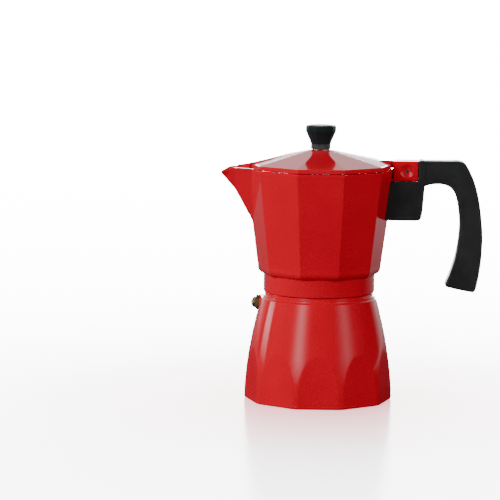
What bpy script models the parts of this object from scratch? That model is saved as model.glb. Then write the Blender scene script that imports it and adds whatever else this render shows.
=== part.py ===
"""Stovetop moka pot in metres: boiler, funnel, seal, collector with spout, hinged lid, knob and handle.

The origin is the centre of the boiler's flat base. +Z is up, the spout points to -X and the handle to +X.
"""

import math

import bmesh
import bpy
from mathutils import Matrix, Vector

# Driving dimensions
GAP = 0.0003
BASE_R = 0.0518
BOILER_H = 0.0737
BOILER_WALL = 0.0038
FLAT_SIDES = 10
COLLAR_R = 0.0389
NECK_H = 0.0123
RIM_R = 0.0522
RIM_Z = 0.1630
WALL = 0.0028
LID_RISE = 0.0125
LID_SHEET = 0.0018
KNOB_R = 0.0107
KNOB_H = 0.0172
HANDLE_W = 0.0144
PIN_R = 0.0015
VALVE_TURN = math.radians(160)
SPOUT_REACH = 0.0172

# Fits derived from them
COLLAR_Z = BOILER_H + 0.0023
VALVE_Z = BOILER_H - 0.0087
SHOULDER_R = COLLAR_R + 0.0007
NECK_R = COLLAR_R - 0.0040
NECK_TOP = BOILER_H + NECK_H
MOUTH_R = NECK_R - 0.0039
BORE_R = COLLAR_R - 0.0021
MALE_BEAD = 0.0008
FEMALE_BEAD = 0.0007
THREAD_PITCH = 0.0030
BASKET_R = MOUTH_R - 0.0012
BASKET_DEPTH = 0.0265
FLANGE_R = NECK_R - 0.0010
FLANGE_Z = NECK_TOP + GAP
FLANGE_T = 0.0010
GASKET_Z = FLANGE_Z + FLANGE_T + GAP
GASKET_T = 0.0030
GASKET_OUT = FLANGE_R
GASKET_IN = GASKET_OUT - 0.0060
WEB_Z = GASKET_Z + GASKET_T + GAP
FLOOR_Z = WEB_Z + 0.0036
CUP_Z = WEB_Z - 0.0024
CUP_R = COLLAR_R + 0.0036
HINGE_X = RIM_R + 0.0081
HINGE_Z = RIM_Z - 0.0012
EAR_TOP = RIM_Z + 0.0059
EAR_LOW = RIM_Z - 0.0082
EAR_END = HINGE_X + 0.0078
EAR_HALF = 0.0065
SLOT_HALF = 0.0034
TAB_HALF = SLOT_HALF - GAP
LID_Z = RIM_Z + GAP
LID_EDGE = 0.0031
APEX_R = 0.0070
APEX_Z = LID_Z + LID_RISE
COLUMN_TOP = RIM_Z - 0.0130
TONGUE_HALF = 0.0042
SCREW_Z = RIM_Z - 0.0230


def clear_scene():
    for item in list(bpy.data.objects):
        bpy.data.objects.remove(item, do_unlink=True)


def collection(name, hidden):
    made = bpy.data.collections.new(name)
    bpy.context.scene.collection.children.link(made)
    made.hide_render = hidden
    return made


def material(name, colour, rough, metal):
    made = bpy.data.materials.new(name)
    made.use_nodes = True
    shader = made.node_tree.nodes["Principled BSDF"]
    shader.inputs["Base Color"].default_value = (*colour, 1.0)
    shader.inputs["Roughness"].default_value = rough
    shader.inputs["Metallic"].default_value = metal
    made.diffuse_color = (*colour, 1.0)
    return made


clear_scene()
PARTS = collection("moka_pot", False)
CUTTERS = collection("moka_pot_cutters", True)


def place(item, shown):
    (PARTS if shown else CUTTERS).objects.link(item)
    if not shown:
        item.hide_render = True
        item.display_type = "WIRE"
    return item


def mesh_object(name, points, faces, shown=False):
    """An object made from points and faces, its faces turned outwards."""
    mesh = bpy.data.meshes.new(name)
    mesh.from_pydata([tuple(p) for p in points], [], faces)
    work = bmesh.new()
    work.from_mesh(mesh)
    bmesh.ops.recalc_face_normals(work, faces=work.faces)
    work.to_mesh(mesh)
    work.free()
    return place(bpy.data.objects.new(name, mesh), shown)


def turned(name, profile, steps, shown=False):
    """A profile of (radius, height) points at +X, turned about Z by a Screw modifier."""
    mesh = bpy.data.meshes.new(name)
    edges = [(i, i + 1) for i in range(len(profile) - 1)]
    if profile[0][0] > 0 and profile[-1][0] > 0:
        edges.append((len(profile) - 1, 0))
    mesh.from_pydata([(r, 0.0, z) for r, z in profile], edges, [])
    item = place(bpy.data.objects.new(name, mesh), shown)
    screw = item.modifiers.new("turn", "SCREW")
    screw.axis = "Z"
    screw.angle = 2 * math.pi
    screw.steps = steps
    screw.render_steps = steps
    screw.use_merge_vertices = True
    screw.merge_threshold = 0.00001
    screw.use_smooth_shade = False
    return item


def primitive(name, make, matrix, shown=False):
    mesh = bpy.data.meshes.new(name)
    work = bmesh.new()
    make(work)
    work.to_mesh(mesh)
    work.free()
    item = place(bpy.data.objects.new(name, mesh), shown)
    item.data.transform(matrix)
    return item


def box(name, low, high, shown=False):
    size = [b - a for a, b in zip(low, high)]
    middle = [(a + b) / 2 for a, b in zip(low, high)]
    matrix = Matrix.Translation(middle) @ Matrix.Diagonal((*size, 1.0))
    return primitive(name, lambda w: bmesh.ops.create_cube(w, size=1.0), matrix, shown)


def rod(name, start, end, radius, sides=24, shown=False, end_radius=None):
    """A cylinder or cone primitive between two points."""
    start, end = Vector(start), Vector(end)
    along = end - start
    turn = along.to_track_quat("Z", "Y").to_matrix().to_4x4()
    matrix = Matrix.Translation((start + end) / 2) @ turn
    last = radius if end_radius is None else end_radius

    def make(work):
        bmesh.ops.create_cone(
            work,
            cap_ends=True,
            segments=sides,
            radius1=radius,
            radius2=last,
            depth=along.length,
        )

    return primitive(name, make, matrix, shown)


def ball(name, centre, radius):
    matrix = Matrix.Translation(centre)

    def make(work):
        bmesh.ops.create_uvsphere(work, u_segments=24, v_segments=24, radius=radius)

    return primitive(name, make, matrix)


def solid_curve(name, curve, shown=False):
    """The mesh of a curve object, with its caps welded. The curve is removed."""
    source = bpy.data.objects.new(name + "_curve", curve)
    CUTTERS.objects.link(source)
    bpy.context.view_layer.update()
    graph = bpy.context.evaluated_depsgraph_get()
    mesh = bpy.data.meshes.new_from_object(source.evaluated_get(graph))
    mesh.name = name
    work = bmesh.new()
    work.from_mesh(mesh)
    bmesh.ops.remove_doubles(work, verts=work.verts, dist=0.000002)
    bmesh.ops.recalc_face_normals(work, faces=work.faces)
    work.to_mesh(mesh)
    work.free()
    item = place(bpy.data.objects.new(name, mesh), shown)
    item.matrix_world = source.matrix_world
    bpy.data.objects.remove(source, do_unlink=True)
    return item


def coil(name, radius, low, pitch, turns, wire, per_turn=24):
    """A bead or spring wire wound about Z as a POLY spline with a round bevel."""
    curve = bpy.data.curves.new(name, "CURVE")
    curve.dimensions = "3D"
    curve.bevel_depth = wire
    curve.bevel_resolution = 2
    curve.use_fill_caps = True
    count = int(turns * per_turn) + 1
    spline = curve.splines.new("POLY")
    spline.points.add(count - 1)
    for i in range(count):
        angle = 2 * math.pi * i / per_turn
        high = low + pitch * i / per_turn
        spline.points[i].co = (radius * math.cos(angle), radius * math.sin(angle), high, 1)
    return solid_curve(name, curve)


def outline(name, corners, half, smooth=False, shown=False):
    """A flat outline in XZ filled on both faces and extruded by half its thickness each way along Y."""
    curve = bpy.data.curves.new(name, "CURVE")
    curve.dimensions = "2D"
    curve.fill_mode = "BOTH"
    curve.extrude = half
    curve.resolution_u = 3
    spline = curve.splines.new("BEZIER")
    spline.bezier_points.add(len(corners) - 1)
    for point, corner in zip(spline.bezier_points, corners):
        point.co = (corner[0], corner[1], 0)
        soft = len(corner) > 2 or smooth
        point.handle_left_type = "AUTO" if soft else "VECTOR"
        point.handle_right_type = "AUTO" if soft else "VECTOR"
    spline.use_cyclic_u = True
    item = solid_curve(name, curve, shown)
    item.data.transform(Matrix.Rotation(math.pi / 2, 4, "X"))
    return item


def boolean(item, other, operation, solver="EXACT"):
    step = item.modifiers.new(operation.lower() + "_" + other.name, "BOOLEAN")
    step.operation = operation
    step.solver = solver
    step.object = other


def cut(item, *others, solver="EXACT"):
    for other in others:
        boolean(item, other, "DIFFERENCE", solver)


def join(item, *others, solver="EXACT"):
    for other in others:
        boolean(item, other, "UNION", solver)


def bevel(item, width, segments=2, limit=30):
    step = item.modifiers.new("bevel", "BEVEL")
    step.width = width
    step.segments = segments
    step.limit_method = "ANGLE"
    step.angle_limit = math.radians(limit)


def finish(item, surface):
    item.data.materials.clear()
    item.data.materials.append(surface)
    return item


LACQUER = (0.46, 0.006, 0.006)
BOILER_RED = material("boiler_lacquer", LACQUER, 0.18, 0.0)
COLLECTOR_RED = material("collector_lacquer", LACQUER, 0.18, 0.0)
LID_RED = material("lid_lacquer", LACQUER, 0.18, 0.0)
HANDLE_BLACK = material("handle_moulding", (0.014, 0.014, 0.015), 0.42, 0.0)
KNOB_BLACK = material("knob_moulding", (0.012, 0.012, 0.013), 0.38, 0.0)
INSERT_GREY = material("insert_moulding", (0.045, 0.055, 0.045), 0.45, 0.0)
FUNNEL_METAL = material("funnel_aluminium", (0.72, 0.72, 0.71), 0.34, 1.0)
TUBE_METAL = material("funnel_tube_aluminium", (0.70, 0.70, 0.69), 0.32, 1.0)
PLATE_METAL = material("basket_plate_aluminium", (0.74, 0.74, 0.73), 0.30, 1.0)
DISC_METAL = material("filter_disc_aluminium", (0.76, 0.76, 0.75), 0.28, 1.0)
COLUMN_METAL = material("column_aluminium", (0.71, 0.71, 0.70), 0.30, 1.0)
SILICONE = material("gasket_silicone", (0.80, 0.79, 0.75), 0.60, 0.0)
VALVE_BRASS = material("valve_brass", (0.52, 0.37, 0.14), 0.30, 1.0)
CAP_BRASS = material("valve_cap_brass", (0.50, 0.35, 0.13), 0.32, 1.0)
PISTON_STEEL = material("valve_piston_brass", (0.58, 0.43, 0.18), 0.26, 1.0)
SPRING_STEEL = material("valve_spring_steel", (0.60, 0.60, 0.61), 0.24, 1.0)
WASHER_FIBRE = material("valve_washer_fibre", (0.28, 0.10, 0.06), 0.75, 0.0)
SCREW_STEEL = material("handle_screw_steel", (0.62, 0.62, 0.63), 0.26, 1.0)
WASHER_STEEL = material("handle_washer_steel", (0.63, 0.63, 0.64), 0.28, 1.0)
KNOB_SCREW_STEEL = material("knob_screw_steel", (0.61, 0.61, 0.62), 0.25, 1.0)
KNOB_WASHER_STEEL = material("knob_washer_steel", (0.62, 0.62, 0.63), 0.28, 1.0)
PIN_STEEL = material("hinge_pin_steel", (0.66, 0.66, 0.67), 0.22, 1.0)

VALVE_OUT = Vector((math.cos(VALVE_TURN), math.sin(VALVE_TURN), 0.0))


def boiler_radius(z):
    """Radius of the boiler's outer curve at a height."""
    return SHOULDER_R + (BASE_R - SHOULDER_R) * (1 - (z / BOILER_H) ** 1.75)


# Safety valve, along its own axis: the stations are distances from the pot's axis
SEAT = boiler_radius(VALVE_Z) + 0.0003
BOSS_IN = SEAT - 0.0066
SHANK_R = 0.0039
HEX_R = 0.0056
HEX_IN = SEAT + 0.0011
HEX_OUT = HEX_IN + 0.0034


def along(distance):
    point = VALVE_OUT * distance
    point.z = VALVE_Z
    return point


def aim(item):
    """Turns a shape made about Z so that Z runs outwards along the valve's axis."""
    turn = VALVE_OUT.to_track_quat("Z", "Y").to_matrix().to_4x4()
    item.matrix_world = Matrix.Translation(along(0)) @ turn


# Boiler: a turned wall with ten flats, a threaded neck and a boss for the valve
FLOOR_T = 0.0040
profile = [(0.0, FLOOR_T), (BASE_R - BOILER_WALL - 0.0050, FLOOR_T)]
inner_top = BOILER_H - 0.0085
for i in range(6):
    z = FLOOR_T + 0.0040 + (inner_top - FLOOR_T - 0.0040) * i / 5
    profile.append((boiler_radius(z) - BOILER_WALL, z))
profile.append((MOUTH_R, BOILER_H - 0.0015))
profile.append((MOUTH_R, NECK_TOP - 0.0004))
profile.append((MOUTH_R + 0.0004, NECK_TOP))
profile.append((NECK_R - 0.0008, NECK_TOP))
profile.append((NECK_R, NECK_TOP - 0.0008))
step_r = COLLAR_R - 0.0007
profile.append((NECK_R, BOILER_H + 0.0020))
profile.append((step_r - 0.0002, BOILER_H + 0.0020))
profile.append((step_r, BOILER_H + 0.0018))
for i in range(4):
    turn = math.pi / 2 * i / 3
    reach = SHOULDER_R - 0.0014 + 0.0014 * math.sin(turn)
    profile.append((reach, BOILER_H - 0.0014 + 0.0014 * math.cos(turn)))
for i in range(1, 11):
    z = BOILER_H - 0.0014 - (BOILER_H - 0.0038) * i / 10
    profile.append((boiler_radius(z), z))
profile.append((BASE_R - 0.0003, 0.0011))
profile.append((BASE_R - 0.0010, 0.0003))
profile.append((BASE_R - 0.0020, 0.0))
profile.append((0.0, 0.0))
boiler = turned("boiler", profile, 40, shown=True)
flat_base = BASE_R - 0.00194
flat_lean = 0.00171 / 0.0375
side = 1 / math.cos(math.pi / FLAT_SIDES)
flats = turned(
    "boiler_flats",
    [
        (0.0, BOILER_H + 0.03),
        ((flat_base - flat_lean * (BOILER_H + 0.03)) * side, BOILER_H + 0.03),
        ((flat_base + flat_lean * 0.01) * side, -0.01),
        (0.0, -0.01),
    ],
    FLAT_SIDES,
)
boolean(boiler, flats, "INTERSECT")
boss = rod("valve_boss", along(BOSS_IN), along(SEAT), 0.0068, 32)
join(boiler, boss)
valve_hole = rod("valve_hole", along(BOSS_IN - 0.01), along(SEAT + 0.01), SHANK_R + GAP, 32)
spot_face = rod("valve_spot_face", along(SEAT), along(SEAT + 0.02), 0.0070, 32)
cut(boiler, valve_hole, spot_face)
male_low = BOILER_H + 0.0038
male = coil("male_thread", NECK_R, male_low, THREAD_PITCH, 2.0, MALE_BEAD)
join(boiler, male)
finish(boiler, BOILER_RED)

# Valve body: hexagon, shank through the wall, and a turret outside
tube_in = 0.0024
BODY_IN = BOSS_IN - 0.0012
TURRET = HEX_OUT + 0.0026
body_profile = [
    (0.0012 + GAP, TURRET),
    (SHANK_R - 0.0008, TURRET),
    (SHANK_R - 0.0001, TURRET - 0.0008),
    (SHANK_R - 0.0001, HEX_OUT - 0.0005),
    (SHANK_R, HEX_OUT - 0.0010),
    (SHANK_R, BODY_IN),
    (tube_in, BODY_IN),
    (tube_in, TURRET - 0.0014),
    (0.0012 + GAP, TURRET - 0.0014),
]
valve_body = turned("valve_body", body_profile, 32, shown=True)
aim(valve_body)
hexagon = rod("valve_hexagon", along(HEX_IN), along(HEX_OUT), HEX_R, 6)
hexagon_core = rod("valve_hexagon_core", along(HEX_IN - 0.005), along(HEX_OUT + 0.005), tube_in + 0.0006, 32)
cut(hexagon, hexagon_core)
bevel(hexagon, 0.0004, 1)
join(valve_body, hexagon)
finish(valve_body, VALVE_BRASS)

washer_profile = [
    (SHANK_R + GAP, SEAT + GAP + 0.0005),
    (HEX_R - 0.0004, SEAT + GAP + 0.0005),
    (HEX_R - 0.0004, SEAT + GAP),
    (SHANK_R + GAP, SEAT + GAP),
]
valve_washer = finish(turned("valve_washer", washer_profile, 32, shown=True), WASHER_FIBRE)
aim(valve_washer)

# Piston: a rod whose rounded end shows outside, with a sealing head near the cap
CAP_T = 0.0013
HEAD_IN = BODY_IN + CAP_T + 0.0008
HEAD_OUT = HEAD_IN + 0.0012
ROD_END = TURRET + 0.0017
rod_r = 0.0012
piston_profile = [
    (0.0, ROD_END),
    (0.0007, ROD_END - 0.0002),
    (rod_r, ROD_END - 0.0008),
    (rod_r, HEAD_OUT),
    (tube_in - GAP, HEAD_OUT),
    (tube_in - GAP, HEAD_IN + 0.0003),
    (tube_in - GAP - 0.0004, HEAD_IN),
    (0.0, HEAD_IN),
]
valve_piston = finish(turned("valve_piston", piston_profile, 24, shown=True), PISTON_STEEL)
aim(valve_piston)

cap_profile = [
    (0.0009, BODY_IN + CAP_T),
    (tube_in - GAP, BODY_IN + CAP_T),
    (tube_in - GAP, BODY_IN - GAP),
    (SHANK_R, BODY_IN - GAP),
    (SHANK_R, BODY_IN - GAP - 0.0010),
    (0.0009, BODY_IN - GAP - 0.0010),
]
valve_cap = finish(turned("valve_cap", cap_profile, 32, shown=True), CAP_BRASS)
aim(valve_cap)

spring_wire = 0.00022
spring_low = HEAD_OUT + spring_wire + 0.0001
spring_high = TURRET - 0.0014 - spring_wire - 0.0001
spring_turns = 6
spring = coil(
    "valve_spring",
    (rod_r + tube_in) / 2,
    spring_low,
    (spring_high - spring_low) / spring_turns,
    spring_turns,
    spring_wire,
    10,
)
CUTTERS.objects.unlink(spring)
PARTS.objects.link(spring)
spring.hide_render = False
spring.display_type = "TEXTURED"
aim(spring)
finish(spring, SPRING_STEEL)

# Funnel basket with its flange on the neck, and a collar below for the tube
sheet = 0.0008
BASKET_LOW = NECK_TOP - BASKET_DEPTH
tube_r = 0.0045
collar_r = tube_r + GAP
step_z = BASKET_LOW + 0.0022
basket_profile = [
    (BASKET_R - sheet, NECK_TOP - 0.0005),
    (BASKET_R - sheet + 0.0006, FLANGE_Z + FLANGE_T),
    (FLANGE_R - 0.0003, FLANGE_Z + FLANGE_T),
    (FLANGE_R, FLANGE_Z + FLANGE_T - 0.0003),
    (FLANGE_R, FLANGE_Z),
    (BASKET_R + 0.0003, FLANGE_Z),
    (BASKET_R, FLANGE_Z - 0.0005),
    (BASKET_R, step_z),
    (BASKET_R - 0.0015, step_z - 0.0012),
    (BASKET_R - 0.0025, BASKET_LOW),
    (0.0120, BASKET_LOW - 0.0050),
    (collar_r + sheet, BASKET_LOW - 0.0066),
    (collar_r + sheet, BASKET_LOW - 0.0130),
    (collar_r, BASKET_LOW - 0.0130),
    (collar_r, BASKET_LOW - 0.0061),
    (0.0117, BASKET_LOW - 0.0042),
    (BASKET_R - 0.0030, BASKET_LOW + 0.0008),
    (BASKET_R - 0.0030, step_z - 0.0004),
    (BASKET_R - sheet, step_z - 0.0004),
]
funnel_basket = finish(turned("funnel_basket", basket_profile, 40, shown=True), FUNNEL_METAL)

TUBE_LOW = FLOOR_T + 0.0030
tube_lip = BASKET_LOW - 0.0056
tube_profile = [
    (tube_r - 0.0009, tube_lip),
    (tube_r, tube_lip),
    (tube_r, TUBE_LOW + 0.0004),
    (tube_r - 0.0004, TUBE_LOW),
    (tube_r - 0.0009, TUBE_LOW),
]
funnel_tube = finish(turned("funnel_tube", tube_profile, 32, shown=True), TUBE_METAL)


def ring_holes(name, low, high, rows, radius):
    """Six-sided punches in rings about the axis, as one cutter."""
    points, faces = [], []
    for ring, count in rows:
        for k in range(count):
            angle = 2 * math.pi * (k + 0.5) / count
            middle = (ring * math.cos(angle), ring * math.sin(angle))
            first = len(points)
            for z in (low, high):
                for j in range(6):
                    spin = math.pi / 3 * j
                    x = middle[0] + radius * math.cos(spin)
                    points.append((x, middle[1] + radius * math.sin(spin), z))
            faces.append([first + j for j in range(6)][::-1])
            faces.append([first + 6 + j for j in range(6)])
            for j in range(6):
                k2 = (j + 1) % 6
                faces.append([first + j, first + k2, first + 6 + k2, first + 6 + j])
    return mesh_object(name, points, faces)


plate_r = BASKET_R - sheet - GAP
plate_z = step_z - 0.0001
plate_profile = [
    (0.0, plate_z + 0.0008),
    (plate_r - 0.0002, plate_z + 0.0008),
    (plate_r, plate_z + 0.0006),
    (plate_r, plate_z),
    (0.0, plate_z),
]
basket_plate = turned("basket_plate", plate_profile, 40, shown=True)
rows = [(plate_r * 0.24, 4), (plate_r * 0.53, 9), (plate_r * 0.82, 15)]
plate_holes = ring_holes("basket_plate_holes", plate_z - 0.002, plate_z + 0.003, rows, 0.0009)
cut(basket_plate, plate_holes)
finish(basket_plate, PLATE_METAL)

# Seal: the gasket and the filter disc that sits in it
gasket_profile = [
    (GASKET_IN + 0.0005, GASKET_Z + GASKET_T),
    (GASKET_OUT - 0.0006, GASKET_Z + GASKET_T),
    (GASKET_OUT - 0.0001, GASKET_Z + GASKET_T - 0.0005),
    (GASKET_OUT, GASKET_Z + GASKET_T / 2),
    (GASKET_OUT - 0.0001, GASKET_Z + 0.0005),
    (GASKET_OUT - 0.0006, GASKET_Z),
    (GASKET_IN + 0.0005, GASKET_Z),
    (GASKET_IN, GASKET_Z + 0.0005),
    (GASKET_IN, GASKET_Z + GASKET_T - 0.0005),
]
gasket = finish(turned("gasket", gasket_profile, 40, shown=True), SILICONE)

disc_r = GASKET_IN - GAP
disc_z = GASKET_Z + 0.0010
disc_t = 0.0007
dome = 0.0010
disc_profile = []
for i in range(4):
    r = (disc_r - 0.0022) * i / 3
    disc_profile.append((r, disc_z + disc_t + dome * (1 - (i / 3) ** 2)))
disc_profile.append((disc_r, disc_z + disc_t))
disc_profile.append((disc_r, disc_z))
for i in range(3, -1, -1):
    r = (disc_r - 0.0022) * i / 3
    disc_profile.append((r, disc_z + dome * (1 - (i / 3) ** 2)))
filter_disc = turned("filter_disc", disc_profile, 40, shown=True)
rows = [(disc_r * 0.24, 4), (disc_r * 0.53, 9), (disc_r * 0.82, 15)]
disc_holes = ring_holes("filter_disc_holes", disc_z - 0.002, disc_z + 0.004, rows, 0.0008)
cut(filter_disc, disc_holes)
finish(filter_disc, DISC_METAL)


def cup_radius(z):
    """Radius of the collector's outer corners at a height."""
    return CUP_R + (RIM_R - CUP_R) * (z - CUP_Z) / (RIM_Z - CUP_Z)


def spout_rings(side_wall, floor_wall, extra_top, start, stop):
    """Cross-sections of the spout from the body to its tip, each a rounded V in YZ."""
    stations = [0.0, 0.16, 0.32, 0.48, 0.62, 0.74, 0.84, 0.92, 0.97, 1.0]
    rings = []
    tip = RIM_R + SPOUT_REACH
    for s in stations:
        reach = start + (stop - start) * s
        t = (reach - (RIM_R - 0.0050)) / (tip - (RIM_R - 0.0050))
        half = 0.0155 * (1 - t) + 0.0019 * t - side_wall * (1 - 0.72 * max(t, 0.0) ** 3)
        low = RIM_Z - 0.0380 * (1 - t) + 0.0022 * t
        low -= 0.0068 * max(t - 0.56, 0.0) / 0.44
        low += floor_wall * (1 - 0.86 * min(max(t, 0.0), 1.0) ** 2)
        high = RIM_Z - 0.0039 * max((t - 0.76) / 0.24, 0.0) ** 1.35 + extra_top
        ring = []
        for k in range(11):
            a = -1 + 2 * k / 10
            blend = (math.sqrt(a * a + 0.02) - math.sqrt(0.02)) / (math.sqrt(1.02) - math.sqrt(0.02))
            ring.append((-reach, half * a, low + (high - low) * blend))
        rings.append(ring)
    return rings


def loft(name, rings):
    """A closed body through rings of equal count, with flat ends."""
    count = len(rings[0])
    points = [p for ring in rings for p in ring]
    faces = []
    for i in range(len(rings) - 1):
        for k in range(count):
            a, b = i * count + k, i * count + (k + 1) % count
            faces.append([a, b, b + count, a + count])
    faces.append(list(range(count))[::-1])
    last = (len(rings) - 1) * count
    faces.append([last + k for k in range(count)])
    return mesh_object(name, points, faces)


# Collector: ten-sided cup on a round threaded collar, with spout, hinge ears and handle tongue
cup = [(0.0, RIM_Z), (RIM_R - 0.0004, RIM_Z), (RIM_R, RIM_Z - 0.0004)]
corner = 0.0052
cup.append((cup_radius(CUP_Z + corner), CUP_Z + corner))
for i in range(1, 6):
    turn = math.pi / 2 * i / 5
    reach = cup_radius(CUP_Z + corner) - corner * 0.72 * (1 - math.cos(turn))
    cup.append((reach, CUP_Z + corner * (1 - math.sin(turn))))
cup.append((0.0, CUP_Z))
collector = turned("collector", cup, FLAT_SIDES, shown=True)
collar = turned(
    "collector_collar",
    [
        (0.0, CUP_Z + 0.0030),
        (COLLAR_R, CUP_Z + 0.0030),
        (COLLAR_R, COLLAR_Z + 0.0012),
        (COLLAR_R - 0.0003, COLLAR_Z + 0.0004),
        (COLLAR_R - 0.0011, COLLAR_Z),
        (0.0, COLLAR_Z),
    ],
    40,
)
spout = loft("spout_outer", spout_rings(0.0, 0.0, 0.0, RIM_R - 0.0090, RIM_R + SPOUT_REACH))
ears = box("hinge_ears", (RIM_R - 0.0060, -EAR_HALF, EAR_LOW), (EAR_END, EAR_HALF, EAR_TOP))
bevel(ears, 0.0007, 2)
TONGUE_TOP = RIM_Z - 0.0120
TONGUE_LOW = RIM_Z - 0.0320
TONGUE_END = RIM_R + 0.0085
tongue = box(
    "handle_tongue",
    (cup_radius(TONGUE_LOW) - 0.0040, -TONGUE_HALF, TONGUE_LOW),
    (TONGUE_END, TONGUE_HALF, TONGUE_TOP),
)
join(collector, collar, spout, ears, tongue)
inner = [(0.0, EAR_TOP + 0.01), (RIM_R - WALL + 0.0014, EAR_TOP + 0.01)]
inner.append((RIM_R - WALL, RIM_Z - 0.0005))
inner.append((cup_radius(FLOOR_Z + 0.004) - WALL, FLOOR_Z + 0.004))
inner.append((cup_radius(FLOOR_Z) - WALL - 0.0012, FLOOR_Z + 0.0012))
inner.append((cup_radius(FLOOR_Z) - WALL - 0.0040, FLOOR_Z))
inner.append((0.0, FLOOR_Z))
cavity = turned("collector_cavity", inner, FLAT_SIDES)
channel = loft("spout_channel", spout_rings(0.0024, 0.0062, 0.0030, RIM_R - 0.0085, RIM_R + SPOUT_REACH + 0.0012))
cut(collector, cavity, channel)
SOCKET_Z = FLOOR_Z + 0.0025
SOCKET_TOP = FLOOR_Z + 0.0120
socket_r = 0.0052
stem = turned(
    "column_boss",
    [
        (0.0, SOCKET_TOP),
        (socket_r + 0.0020, SOCKET_TOP),
        (socket_r + 0.0032, FLOOR_Z + 0.0040),
        (socket_r + 0.0050, FLOOR_Z + 0.0010),
        (socket_r + 0.0080, FLOOR_Z - 0.0010),
        (0.0, FLOOR_Z - 0.0010),
    ],
    32,
)
join(collector, stem)
bores = turned(
    "collector_bores",
    [
        (0.0, SOCKET_TOP + 0.002),
        (socket_r + GAP, SOCKET_TOP + 0.002),
        (socket_r + GAP, SOCKET_Z),
        (0.0034, SOCKET_Z),
        (0.0034, WEB_Z + 0.0018),
        (GASKET_IN - 0.0010, WEB_Z),
        (GASKET_OUT + GAP, WEB_Z),
        (GASKET_OUT + GAP, GASKET_Z + 0.0002),
        (BORE_R, GASKET_Z - 0.0006),
        (BORE_R, COLLAR_Z + 0.0006),
        (BORE_R + 0.0008, COLLAR_Z - 0.0020),
        (0.0, COLLAR_Z - 0.0020),
    ],
    40,
)
cut(collector, bores)
female_low = male_low + THREAD_PITCH / 2 - 0.0008
female = coil("female_thread", BORE_R + 0.0001, female_low, THREAD_PITCH, 1.5, FEMALE_BEAD)
join(collector, female)
lid_clear = box("lid_clearance", (RIM_R - 0.030, -0.02, RIM_Z), (RIM_R - 0.0014, 0.02, EAR_TOP + 0.02))
slot = box("hinge_slot", (RIM_R + 0.0004, -SLOT_HALF, HINGE_Z - 0.0056), (EAR_END + 0.01, SLOT_HALF, EAR_TOP + 0.01))
slot_mouth = box("hinge_slot_mouth", (RIM_R - 0.004, -SLOT_HALF, RIM_Z), (RIM_R + 0.002, SLOT_HALF, EAR_TOP + 0.01))
pin_hole = rod("pin_hole", (HINGE_X, -0.02, HINGE_Z), (HINGE_X, 0.02, HINGE_Z), PIN_R + GAP, 24)
dimple_r = 0.0048
dimple_deep = 0.0014
sphere_r = (dimple_r**2 + dimple_deep**2) / (2 * dimple_deep)
offset = EAR_HALF - dimple_deep + sphere_r
dimples = [ball("dimple_%d" % i, (HINGE_X, s * offset, HINGE_Z), sphere_r) for i, s in enumerate((-1, 1))]
screw_r = 0.0020
tongue_hole = rod(
    "tongue_hole",
    (RIM_R + 0.0005, 0, SCREW_Z),
    (TONGUE_END + 0.01, 0, SCREW_Z),
    screw_r + GAP,
    24,
)
cut(collector, lid_clear, slot, slot_mouth, pin_hole, *dimples, tongue_hole)
finish(collector, COLLECTOR_RED)

# Column: a tapered tube pressed in the socket, closed on top, with two outlets at its sides
column_profile = [
    (0.0, COLUMN_TOP),
    (0.0022, COLUMN_TOP - 0.0003),
    (0.0036, COLUMN_TOP - 0.0012),
    (0.0042, COLUMN_TOP - 0.0026),
    (socket_r - 0.0002, SOCKET_TOP + 0.0004),
    (socket_r, SOCKET_TOP - 0.0010),
    (socket_r, SOCKET_Z + GAP),
    (0.0036, SOCKET_Z + GAP),
    (0.0030, COLUMN_TOP - 0.0040),
    (0.0022, COLUMN_TOP - 0.0018),
    (0.0, COLUMN_TOP - 0.0012),
]
column = turned("column", column_profile, 32, shown=True)
outlets = box(
    "column_outlets",
    (-0.0014, -0.01, COLUMN_TOP - 0.0085),
    (0.0014, 0.01, COLUMN_TOP - 0.0040),
)
bevel(outlets, 0.0006, 2)
cut(column, outlets)
finish(column, COLUMN_METAL)

# Hinge pin through the ears and the lid's knuckle
pin_half = EAR_HALF - dimple_deep + 0.0004
pin_profile = [
    (0.0, pin_half),
    (PIN_R - 0.0004, pin_half - 0.0001),
    (PIN_R, pin_half - 0.0005),
    (PIN_R, -pin_half + 0.0005),
    (PIN_R - 0.0004, -pin_half + 0.0001),
    (0.0, -pin_half),
]
hinge_pin = finish(turned("hinge_pin", pin_profile, 24, shown=True), PIN_STEEL)
hinge_pin.matrix_world = Matrix.Translation((HINGE_X, 0, HINGE_Z)) @ Matrix.Rotation(math.pi / 2, 4, "X")

# Lid: ten-sided roof with an upright rim, a flat cover over the spout and a hinge tab
roof_r = RIM_R - 0.0004
roof_slope = (APEX_Z - LID_Z - LID_EDGE) / (roof_r - APEX_R)
lid_profile = [
    (0.0, APEX_Z),
    (APEX_R, APEX_Z),
    (roof_r, LID_Z + LID_EDGE),
    (RIM_R + 0.0002, LID_Z + LID_EDGE - 0.0005),
    (RIM_R + 0.0002, LID_Z),
    (RIM_R + 0.0002 - LID_SHEET, LID_Z),
    (RIM_R + 0.0002 - LID_SHEET, LID_Z + LID_EDGE - LID_SHEET * 0.9),
    (APEX_R, APEX_Z - LID_SHEET),
    (0.0, APEX_Z - LID_SHEET),
]
lid = turned("lid", lid_profile, FLAT_SIDES, shown=True)


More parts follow.
